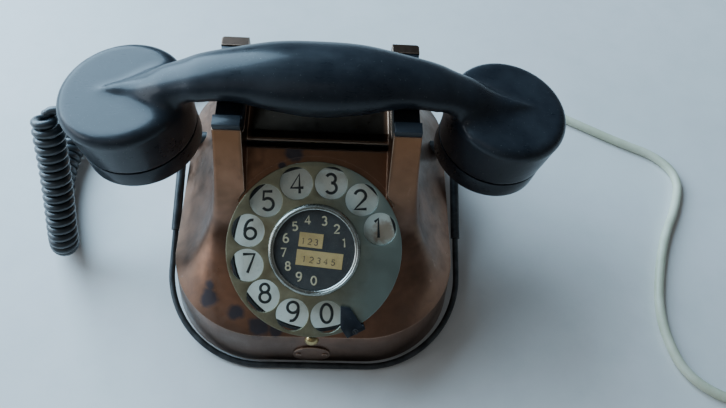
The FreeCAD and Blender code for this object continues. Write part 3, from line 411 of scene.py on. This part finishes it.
def lathe(name, profile, place, turns=96):
    """A closed ring or disc: profile is (radius, level) in millimetres, spun round the place's Z."""
    points, faces = [], []
    count = len(profile)
    for step in range(turns):
        angle = 2 * math.pi * step / turns
        for radius, level in profile:
            points.append(place @ mm(radius * math.cos(angle), radius * math.sin(angle), level))
    for step in range(turns):
        here, there = step * count, (step + 1) % turns * count
        for row in range(count):
            after = (row + 1) % count
            faces.append((here + row, there + row, there + after, here + after))
    mesh = mesh_from(name, points, faces)
    work = bmesh.new()
    work.from_mesh(mesh)
    bmesh.ops.remove_doubles(work, verts=work.verts, dist=1e-6)
    bmesh.ops.recalc_face_normals(work, faces=work.faces)
    work.to_mesh(mesh)
    work.free()
    return smooth(mesh, 40)


def rounded_corner(profile, index, radius, steps):
    """The profile with one corner replaced by an arc-like curve."""
    corner = Vector(profile[index])
    before, after = Vector(profile[index - 1]), Vector(profile[(index + 1) % len(profile)])
    start = corner + (before - corner).normalized() * radius
    end = corner + (after - corner).normalized() * radius
    arc = []
    for step in range(steps + 1):
        t = step / steps
        point = start * (1 - t) ** 2 + corner * 2 * t * (1 - t) + end * t ** 2
        arc.append(tuple(point))
    return list(profile[:index]) + arc + list(profile[index + 1:])


def softened(node, body, material, width, segments):
    """A copy of a CAD node with its sharp edges rounded, which stands for the node."""
    source = frame["nodes"][node]
    mesh = source.data.copy()
    work = bmesh.new()
    work.from_mesh(mesh)
    bmesh.ops.remove_doubles(work, verts=work.verts, dist=2e-6)
    bmesh.ops.dissolve_limit(work, angle_limit=math.radians(0.6), verts=work.verts, edges=work.edges)
    bmesh.ops.recalc_face_normals(work, faces=work.faces)
    work.to_mesh(mesh)
    work.free()
    piece = add_piece(node + "_finished", mesh, body, material, (node,))
    bevel = piece.modifiers.new("round", "BEVEL")
    bevel.width = width
    bevel.segments = segments
    bevel.limit_method = "ANGLE"
    bevel.angle_limit = math.radians(35.0)
    bevel.harden_normals = False
    smooth(applied(piece), 50)
    return piece


# ---------------------------------------------------------------- digits
def arc_points(cx, cy, rx, ry, start, end, steps=16):
    points = []
    for step in range(steps + 1):
        angle = math.radians(start + (end - start) * step / steps)
        points.append((cx + rx * math.cos(angle), cy + ry * math.sin(angle)))
    return points


# Single-line digits in a box about 0.6 wide and 1 high, origin at its middle.
GLYPHS = {
    "0": [arc_points(0, 0, 0.29, 0.48, 0, 360, 32)],
    "1": [[(-0.17, 0.33), (0.02, 0.49), (0.02, -0.49)]],
    "2": [arc_points(0, 0.21, 0.28, 0.28, 165, -38, 20) + [(-0.30, -0.48), (0.31, -0.48)]],
    "3": [arc_points(0, 0.25, 0.24, 0.24, 150, -85, 20), arc_points(0, -0.22, 0.28, 0.27, 88, -150, 22)],
    "4": [[(0.12, -0.49), (0.12, 0.49), (-0.32, -0.20), (0.32, -0.20)]],
    "5": [[(0.25, 0.47), (-0.18, 0.47), (-0.22, 0.06)]
          + arc_points(0, -0.18, 0.29, 0.30, 125, -145, 24)],
    "6": [arc_points(0.10, -0.15, 0.38, 0.64, 78, 175, 14),
          arc_points(0, -0.20, 0.28, 0.28, 0, 360, 28)],
    "7": [[(-0.30, 0.47), (0.29, 0.47), (-0.10, -0.49)]],
    "8": [arc_points(0, 0.25, 0.22, 0.22, 0, 360, 24), arc_points(0, -0.22, 0.27, 0.26, 0, 360, 24)],
    "9": [arc_points(-0.10, 0.15, 0.38, 0.64, -102, -5, 14),
          arc_points(0, 0.20, 0.28, 0.28, 0, 360, 28)],
}


def lettering(name, marks, stroke, thickness):
    """Painted digits: marks lists (digit, x, y, height, turn in degrees); returns a mesh."""
    curve = bpy.data.curves.new(name, "CURVE")
    curve.dimensions = "3D"
    curve.bevel_depth = 0.5 * stroke * MM
    curve.bevel_resolution = 3
    curve.use_fill_caps = True
    for digit, x, y, height, turn in marks:
        cos, sin = math.cos(math.radians(turn)), math.sin(math.radians(turn))
        for line in GLYPHS[digit]:
            closed = line[0] == line[-1] or math.dist(line[0], line[-1]) < 1e-6
            if closed:
                line = line[:-1]
            spline = curve.splines.new("POLY")
            spline.points.add(len(line) - 1)
            for point, (u, v) in zip(spline.points, line):
                u, v = u * height, v * height
                point.co = (*mm(x + u * cos - v * sin, y + u * sin + v * cos, 0), 1)
            spline.use_cyclic_u = closed
    holder = bpy.data.objects.new(name, curve)
    bpy.context.collection.objects.link(holder)
    graph = bpy.context.evaluated_depsgraph_get()
    mesh = bpy.data.meshes.new_from_object(holder.evaluated_get(graph))
    bpy.data.objects.remove(holder)
    bpy.data.curves.remove(curve)
    mesh.transform(Matrix.Diagonal((1, 1, thickness / stroke, 1)))
    return smooth(mesh)


def dial_lettering(name, marks, stroke, thickness, level, body, material):
    mesh = lettering(name, marks, stroke, thickness)
    mesh.transform(DIAL @ Matrix.Translation(mm(0, 0, level)))
    return add_piece(name, mesh, body, material)


# ---------------------------------------------------------------- dial pieces
def make_finger_wheel(material):
    """The wheel: a filled flat curve with its ten holes, thickened with rolled edges."""
    curve = bpy.data.curves.new("wheel_outline", "CURVE")
    curve.dimensions = "2D"
    curve.fill_mode = "BOTH"
    curve.extrude = 0.35 * MM
    curve.bevel_depth = 0.25 * MM
    curve.bevel_resolution = 3
    rings = [((0.0, 0.0), 39.0 - 0.25, 144), ((0.0, 0.0), 3.0 + 0.25, 24)]
    for number in range(10):
        centre = polar(HOLE_CIRCLE, HOLE_FIRST + number * HOLE_PITCH)
        rings.append((centre, HOLE_RADIUS + 0.25, 48))
    for (cx, cy), radius, count in rings:
        spline = curve.splines.new("POLY")
        spline.points.add(count - 1)
        for step, point in enumerate(spline.points):
            u, v = polar(radius, 360.0 * step / count)
            point.co = (*mm(cx + u, cy + v, 0), 1)
        spline.use_cyclic_u = True
    holder = bpy.data.objects.new("wheel_outline", curve)
    bpy.context.collection.objects.link(holder)
    graph = bpy.context.evaluated_depsgraph_get()
    mesh = bpy.data.meshes.new_from_object(holder.evaluated_get(graph))
    bpy.data.objects.remove(holder)
    bpy.data.curves.remove(curve)
    work = bmesh.new()
    work.from_mesh(mesh)
    bmesh.ops.remove_doubles(work, verts=work.verts, dist=1e-6)
    work.to_mesh(mesh)
    work.free()
    mesh.transform(DIAL)
    return add_piece("wheel_rolled", smooth(mesh, 35), "dial", material, ("finger_wheel",))


def make_dial(looks):
    make_finger_wheel(looks["nickel"])
    bezel = [(20.5, 0.6), (20.5, 2.2), (19.9, 3.0), (19.2, 3.25), (18.75, 2.75), (18.5, 2.7),
             (18.25, 3.2), (18.0, 3.0), (18.0, 0.6)]
    add_piece("bezel_turned", lathe("bezel_turned", bezel, DIAL), "dial", looks["bright"],
              ("centre_bezel",))
    window = [(0.0, 2.2), (17.95, 2.2), (17.95, 2.6), (17.0, 2.8), (11.0, 3.0), (0.0, 3.1)]
    add_piece("window_domed", lathe("window_domed", window, DIAL), "dial",
              looks["window"], ("centre_window",))
    marks = []
    for number, digit in enumerate("1234567890"):
        x, y = polar(30.2, HOLE_FIRST + number * HOLE_PITCH)
        marks.append((digit, x, y, 8.8, 3.0))
    dial_lettering("plate_digits", marks, 1.28, 0.24, -5.98, "root", looks["ink"])
    marks = []
    for angle, digit in zip((14.7, 45, 73, 104, 131, 159, 186, 213, 242, 271), "1234567890"):
        x, y = polar(13.6, angle)
        marks.append((digit, x, y, 3.8, 3.0))
    dial_lettering("card_digits", marks, 0.72, 0.14, 1.66, "dial", looks["cream ink"])
    marks = []
    for column, digit in enumerate("123"):
        marks.append((digit, -5.0 + 2.8 * column, 3.9 - 0.25 * column, 2.6, -8.0))
    for column, digit in enumerate("12345"):
        marks.append((digit, -4.4 + 3.2 * column, -4.1 - 0.3 * column, 2.6, -10.0))
    dial_lettering("slip_digits", marks, 0.40, 0.06, 1.78, "dial", looks["pencil"])


# ---------------------------------------------------------------- handset
# The grip: distance from the middle, centre level, half depth, half height.
GRIP = ((0.0, 116.0, 17.0, 14.0), (18.0, 116.9, 15.8, 12.6), (36.0, 116.8, 12.6, 9.4),
        (52.0, 113.4, 11.2, 8.4), (68.0, 106.8, 10.0, 7.6), (78.0, 102.7, 7.2, 6.4),
        (88.0, 100.0, 3.8, 6.4), (98.0, 96.7, 0.8, 6.4))
HANDSET_Y = 7.0
DISC_TOP = 104.6
# The skin's fillets: both ends taken as one, with a mean middle, radius and slope of the lean.
MEAN_X, MEAN_RADIUS, LEAN_SLOPE = 84.4, 27.6, 0.114
SKIN_VOXEL, FILLET_REACH, SKIN_PASSES = 0.8, 3.4, 70
FRONT_SCREW_Y, FRONT_SCREW_Z = -73.2, 25.8
# Each end of the handset: its middle, the radii of its top and its cap, and its lean inwards.
ENDS = ((84.0, 27.2, 25.5, 6.5), (-84.8, 28.6, 26.9, -6.5))


def between(rows, x):
    """Values at x on a smooth curve through the rows, mirrored at the first."""
    table = [(-row[0],) + row[1:] for row in rows[:0:-1]] + list(rows)
    x = max(min(x, table[-1][0]), table[0][0])
    index = max(i for i in range(len(table) - 1) if table[i][0] <= x)
    a, b = table[index], table[index + 1]
    before = table[index - 1] if index else a
    after = table[index + 2] if index + 2 < len(table) else b
    t = (x - a[0]) / (b[0] - a[0])
    values = []
    for k in range(1, len(a)):
        span = b[0] - a[0]
        start = (b[k] - before[k]) / max(b[0] - before[0], 1e-9) * span
        end = (after[k] - a[k]) / max(after[0] - a[0], 1e-9) * span
        h = (2 * t ** 3 - 3 * t ** 2 + 1, t ** 3 - 2 * t ** 2 + t,
             -2 * t ** 3 + 3 * t ** 2, t ** 3 - t ** 2)
        values.append(h[0] * a[k] + h[1] * start + h[2] * b[k] + h[3] * end)
    return values


def grip_mesh(rows, around=64, along=110):
    points, faces = [], []
    reach = rows[-1][0]
    for step in range(along + 1):
        x = -reach + 2 * reach * step / along
        level, half_y, half_z = between(rows, x)
        for k in range(around):
            angle = 2 * math.pi * k / around
            points.append(mm(x, HANDSET_Y + half_y * math.cos(angle), level + half_z * math.sin(angle)))
    for step in range(along):
        for k in range(around):
            a, b = step * around + k, step * around + (k + 1) % around
            faces.append((a, b, b + around, a + around))
    faces.append(tuple(range(around)))
    faces.append(tuple(along * around + k for k in range(around)))
    return normals_out(mesh_from("grip", points, faces))


def housing_profile(wide, cap):
    profile = [(0.0, 73.6), (23.2, 73.6), (23.2, 79.4), (cap - 0.2, 79.4), (cap + 0.1, 80.2),
               (wide, 100.9), (wide, DISC_TOP), (0.0, DISC_TOP)]
    return rounded_corner(profile, 6, 5.6, 10)


def make_handset(looks):
    """The grip and both housings as one skin, with a fillet where they meet."""
    import numpy as np
    meshes = [grip_mesh(GRIP)]
    for x, wide, cap, lean in ENDS:
        turn = Matrix.Rotation(math.radians(lean), 4, "Y")
        lowered = Matrix.Translation(mm(0, 0, -DISC_TOP))
        place = Matrix.Translation(mm(x, HANDSET_Y, DISC_TOP)) @ turn @ lowered
        meshes.append(lathe("housing", housing_profile(wide, cap), place, 128))
    work = bmesh.new()
    for mesh in meshes:
        work.from_mesh(mesh)
    joined = bpy.data.meshes.new("handset_skin")
    work.to_mesh(joined)
    work.free()
    piece = add_piece("handset_moulding", joined, "handset", looks["bakelite"],
                      ("handset_body",))
    remesh = piece.modifiers.new("skin", "REMESH")
    remesh.mode = "VOXEL"
    remesh.voxel_size = SKIN_VOXEL * MM
    mesh = applied(piece)
    count = len(mesh.vertices)
    at = np.empty(count * 3)
    mesh.vertices.foreach_get("co", at)
    at = at.reshape(-1, 3) * 1000.0
    ends = np.empty(len(mesh.edges) * 2, dtype=np.int64)
    mesh.edges.foreach_get("vertices", ends)
    ends = ends.reshape(-1, 2)
    degree = np.bincount(ends.ravel(), minlength=count)[:, None]
    table = np.array([[x] + between(GRIP, x) for x in np.linspace(-GRIP[-1][0], GRIP[-1][0], 393)])
    level, half_y, half_z = (np.interp(at[:, 0], table[:, 0], table[:, k]) for k in (1, 2, 3))
    oval = np.hypot((at[:, 1] - HANDSET_Y) / half_y, (at[:, 2] - level) / half_z)
    from_grip = np.abs(oval - 1) * np.minimum(half_y, half_z)
    beyond = np.maximum(np.abs(at[:, 0]) - GRIP[-1][0], 0)
    from_grip = np.hypot(from_grip, beyond)
    out = np.abs(at[:, 0]) - MEAN_X
    top = DISC_TOP - LEAN_SLOPE * out
    middle_out = out + LEAN_SLOPE * (DISC_TOP - at[:, 2])
    radial = np.abs(np.hypot(middle_out, at[:, 1] - HANDSET_Y) - MEAN_RADIUS)
    from_housing = np.minimum(radial, np.abs(at[:, 2] - top))
    from_housing = np.where(np.abs(at[:, 0]) < 50, 40, from_housing)
    from_housing += np.clip((np.abs(at[:, 0]) - 74.0) * 0.5, 0, 6)
    share = np.exp(-(from_grip ** 2 + from_housing ** 2) / (2 * FILLET_REACH ** 2))
    share = np.clip(share * 1.4, 0, 1)[:, None] * (at[:, 2:3] > 82.0)
    gentle = 0.25
    for turn in range(SKIN_PASSES):
        total = np.zeros_like(at)
        np.add.at(total, ends[:, 0], at[ends[:, 1]])
        np.add.at(total, ends[:, 1], at[ends[:, 0]])
        mean = total / degree
        weight = np.maximum(share, gentle if turn < 6 else 0.0)
        at = at + (mean - at) * 0.6 * weight
    mesh.vertices.foreach_set("co", (at / 1000.0).ravel())
    mesh.update()
    smooth(mesh, 55)


def make_front_screw(looks):
    """The case's front screw: a domed head and its shank."""
    dome = [(0.0, -4.6), (1.7, -4.6), (1.7, 0.0), (3.3, 0.0), (3.3, 0.5), (3.05, 1.3),
            (2.45, 2.0), (1.5, 2.5), (0.0, 2.7)]
    forward = Matrix.Rotation(math.radians(90), 4, "X")
    place = Matrix.Translation(mm(0, FRONT_SCREW_Y, FRONT_SCREW_Z)) @ forward
    add_piece("front_screw_domed", lathe("front_screw_domed", dome, place, 48), "root",
              looks["brass"], ("case_screw_front",))


# ---------------------------------------------------------------- cords
def curve_piece(name, points, radius, body, material):
    """A cord's line: one open NURBS spline through its route's points, given its thickness."""
    curve = bpy.data.curves.new(name, "CURVE")
    curve.dimensions = "3D"
    curve.resolution_u = 8
    spline = curve.splines.new("NURBS")
    spline.points.add(len(points) - 1)
    for point, place in zip(spline.points, points):
        point.co = (*place, 1)
    spline.order_u = 3
    spline.use_endpoint_u = True
    curve.bevel_depth = radius
    curve.bevel_resolution = 6
    curve.use_fill_caps = True
    curve.materials.append(material)
    piece = bpy.data.objects.new(name, curve)
    bpy.context.collection.objects.link(piece)
    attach(piece, body)
    return piece


LINE_ROUTE = (
    (42.0, 98.4, 9.5), (42.6, 106.5, 8.2), (48.5, 115.5, 3.6), (62.0, 119.4, 2.5),
    (84.0, 116.0, 2.5), (107.0, 106.5, 2.5), (131.0, 95.4, 2.5), (156.0, 82.2, 2.5),
    (183.0, 67.3, 2.5), (205.5, 57.5, 2.5), (215.5, 42.0, 2.5), (209.0, 22.0, 2.5),
    (197.0, 1.0, 2.5), (189.0, -22.0, 2.5), (184.2, -42.0, 2.5), (184.4, -60.0, 2.5),
    (190.0, -79.0, 2.5), (207.0, -91.0, 2.5), (223.4, -92.4, 2.5),
)
COIL_CENTRE = (243.0, -124.0)
CORD_DIAMETER = 5.0


def coil_points():
    """The stored turns: three inwards on the table, three outwards on them, then over to the plug."""
    x, y = COIL_CENTRE
    per_turn, inner, outer = 16, 22.5, 32.5
    start = 112.0
    points = []
    for step in range(3 * per_turn + 1):
        t = step / (3 * per_turn)
        u, v = polar(outer + (inner - outer) * t, start - 360.0 * 3 * t)
        points.append((x + u, y + v, 2.5))
    for step in range(2, 3 * per_turn + 1):
        t = step / (3 * per_turn)
        u, v = polar(inner + (outer - inner) * t, start - 360.0 * 3 * t)
        points.append((x + u, y + v, 7.6))
    last = start - 360.0 * 3
    for step, (radius, level) in enumerate(((32.6, 9.6), (32.0, 12.2), (31.0, 12.9), (29.6, 13.0),
                                            (28.4, 12.9), (26.8, 12.2), (24.6, 10.6)), start=1):
        u, v = polar(radius, last - 14.0 * step)
        points.append((x + u, y + v, level))
    return points


def make_line_cord(looks):
    route = [mm(*p) for p in LINE_ROUTE] + [mm(*p) for p in coil_points()]
    return curve_piece("line_cord_sheath", route, 0.5 * CORD_DIAMETER * MM, "root",
                       looks["cream"])


STRAND_ROUTE = ((-112.8, 7.0, 88.0), (-117.2, 6.9, 88.7), (-120.3, 6.0, 87.4), (-121.2, 4.4, 83.6))
CURL_ROUTE = (
    (-121.2, 4.4, 83.6), (-122.6, -8.0, 54.0), (-125.2, -22.5, 24.5), (-129.5, -18.5, 8.4),
    (-136.5, -1.0, 8.2), (-141.5, 24.0, 8.0), (-139.5, 50.0, 8.0), (-126.0, 75.0, 8.0),
    (-102.0, 92.0, 8.0), (-75.0, 102.5, 8.0), (-53.0, 106.0, 8.6),
)
TAIL_ROUTE = ((-53.0, 106.0, 8.6), (-45.0, 104.5, 9.0), (-42.0, 98.0, 9.5), (-42.0, 90.4, 9.5))
CURL_RADIUS, STRAND_DIAMETER, CURL_PITCH = 5.2, 4.0, 4.45


def line_through(points):
    """Close points along the smooth line of a route."""
    curve = bpy.data.curves.new("route", "CURVE")
    curve.dimensions = "3D"
    curve.resolution_u = 24
    spline = curve.splines.new("NURBS")
    spline.points.add(len(points) - 1)
    for point, place in zip(spline.points, points):
        point.co = (*place, 1)
    spline.order_u = 3
    spline.use_endpoint_u = True
    holder = bpy.data.objects.new("route", curve)
    bpy.context.collection.objects.link(holder)
    graph = bpy.context.evaluated_depsgraph_get()
    mesh = bpy.data.meshes.new_from_object(holder.evaluated_get(graph))
    found = [v.co.copy() for v in mesh.vertices]
    bpy.data.objects.remove(holder)
    bpy.data.curves.remove(curve)
    bpy.data.meshes.remove(mesh)
    return found


def evenly(points, spacing):
    """The same line with points at an even spacing, and the distance of each from its start."""
    runs = [0.0]
    for a, b in zip(points, points[1:]):
        runs.append(runs[-1] + (b - a).length)
    count = max(2, round(runs[-1] / spacing))
    found, index = [], 0
    for step in range(count + 1):
        want = runs[-1] * step / count
        while index < len(runs) - 2 and runs[index + 1] < want:
            index += 1
        span = max(runs[index + 1] - runs[index], 1e-9)
        found.append(points[index].lerp(points[index + 1], min(1.0, (want - runs[index]) / span)))
    return found, runs[-1]


def frames_along(points):
    """Each point with a steady pair of directions across the line, without twist."""
    side = Vector((0, 1, 0))
    found = []
    for index, point in enumerate(points):
        ahead = points[min(index + 1, len(points) - 1)] - points[max(index - 1, 0)]
        ahead.normalize()
        side = (side - ahead * side.dot(ahead)).normalized()
        found.append((point, side, ahead.cross(side)))
    return found


def tube_mesh(name, path, radius, around=10):
    points, faces = [], []
    for point, side, up in frames_along(path):
        for k in range(around):
            angle = 2 * math.pi * k / around
            points.append(point + (side * math.cos(angle) + up * math.sin(angle)) * radius)
    for step in range(len(path) - 1):
        for k in range(around):
            a, b = step * around + k, step * around + (k + 1) % around
            faces.append((a, b, b + around, a + around))
    faces.append(tuple(range(around)))
    faces.append(tuple((len(path) - 1) * around + k for k in range(around)))
    return smooth(normals_out(mesh_from(name, points, faces)))


def make_handset_cord(looks):
    route = list(STRAND_ROUTE) + list(CURL_ROUTE[1:]) + list(TAIL_ROUTE[1:])
    line, length = evenly(line_through([mm(*p) for p in route]), CURL_PITCH * MM / 22)
    path = []
    for index, (point, side, up) in enumerate(frames_along(line)):
        gone = length * index / (len(line) - 1)
        left = length - gone
        swell = min(1.0, max(0.0, (gone - 0.007) / 0.006), max(0.0, (left - 0.022) / 0.008))
        swell = swell * swell * (3 - 2 * swell)
        angle = 2 * math.pi * gone / (CURL_PITCH * MM)
        offset = (side * math.cos(angle) + up * math.sin(angle)) * CURL_RADIUS * MM * swell
        path.append(point + offset)
    mesh = tube_mesh("handset_cord_curl", path, 0.5 * STRAND_DIAMETER * MM)
    piece = add_piece("handset_cord_curl", mesh, None, looks["cord rubber"],
                      ("handset_cord",))
    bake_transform(piece)
    return piece


# ---------------------------------------------------------------- all of it
def make_looks():
    looks = {
        "copper": copper_material(),
        "bakelite": bakelite_material(),
        "nickel": metal_material("worn nickel", (0.185, 0.175, 0.115), (0.330, 0.320, 0.220),
                                 0.38, 70.0,
                                 specks=0.5, sheen_tint=(0.290, 0.370, 0.345)),
        "bright": metal_material("bright nickel", (0.28, 0.28, 0.24), (0.50, 0.50, 0.45), 0.26,
                                 90.0),
        "brass": metal_material("brass", (0.42, 0.31, 0.14), (0.70, 0.56, 0.30), 0.32, 200.0,
                                specks=0.4),
        "steel": metal_material("plain steel", (0.33, 0.33, 0.33), (0.55, 0.55, 0.54), 0.38,
                                120.0, (0.1, 1, 1)),
        "black steel": metal_material("blackened steel", (0.030, 0.032, 0.034), (0.075, 0.078,
                                      0.08), 0.42,
                                      150.0, metallic=0.6, specks=0.4),
        "enamel": enamel_material(),
        "window": window_material(),
        "black card": paper_material("black card", (0.030, 0.028, 0.026), (0.055, 0.05, 0.045)),
        "paper": paper_material("aged paper", (0.66, 0.46, 0.18), (0.52, 0.34, 0.12)),
        "ink": plain_material("black digits", (0.012, 0.02, 0.02), (0.03, 0.035, 0.035), 0.35,
                              300.0, coat=0.2),
        "cream ink": plain_material("cream digits", (0.70, 0.60, 0.38), (0.60, 0.50, 0.30), 0.5,
                                    300.0),
        "pencil": plain_material("pencil", (0.06, 0.04, 0.025), (0.12, 0.08, 0.05), 0.6, 400.0),
        "rubber": plain_material("black rubber", (0.022, 0.024, 0.026), (0.04, 0.042, 0.044),
                                 0.55, 200.0),
        "cord rubber": plain_material("curled cord", (0.018, 0.024, 0.030), (0.036, 0.044,
                                      0.050), 0.36, 160.0,
                                      coat=0.3),
        "cream": plain_material("cream sheath", (0.50, 0.51, 0.36), (0.62, 0.62, 0.48), 0.42, 60.0),
        "winding": plain_material("taped winding", (0.20, 0.10, 0.05), (0.33, 0.18, 0.09), 0.6,
                                  260.0,
                                  grain=(1, 0.05, 1)),
        "brown": plain_material("brown resin", (0.12, 0.06, 0.035), (0.19, 0.10, 0.06), 0.4,
                                90.0, coat=0.2),
    }
    return looks


SLOT_LOOKS = {
    "copper": "copper", "plain_steel": "steel", "soft_rubber": "rubber", "brass": "brass",
    "enamel": "enamel", "black_bakelite": "bakelite", "black_steel": "black steel",
    "nickel": "nickel", "clear_window": "window", "black_card": "black card",
    "label_paper": "paper", "winding": "winding", "brown_bakelite": "brown",
    "cream_cord": "cream",
}


def dress_nodes(looks):
    """Every CAD node that stays gets the finished material of its slot."""
    for row in frame["record"]["subparts"]:
        node = frame["nodes"][row["node"]]
        material = looks[SLOT_LOOKS[row["material_slot"]]]
        for index in range(max(1, len(node.material_slots))):
            if node.material_slots:
                node.material_slots[index].material = material
            else:
                node.data.materials.append(material)


def add_floor():
    mesh = mesh_from("floor", [(-2, -2, 0), (2, -2, 0), (2, 2, 0), (-2, 2, 0)], [(0, 1, 2, 3)])
    floor = bpy.data.objects.new("floor", mesh)
    bpy.context.collection.objects.link(floor)
    floor.data.materials.append(floor_material())


def main():
    aim_camera()
    add_lights()
    add_floor()
    looks = make_looks()
    dress_nodes(looks)
    make_dial(looks)
    make_handset(looks)
    softened("saddle_left", "cradle", looks["bakelite"], 0.0009, 3)
    softened("saddle_right", "cradle", looks["bakelite"], 0.0009, 3)
    softened("finger_stop", "root", looks["bakelite"], 0.0006, 2)
    softened("ear_cap", "handset", looks["bakelite"], 0.0008, 3)
    softened("mouth_cap", "handset", looks["bakelite"], 0.0008, 3)
    make_front_screw(looks)
    make_handset_cord(looks)
    cord = make_line_cord(looks)
    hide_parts("line_cord", "line_cord_coil")


main()
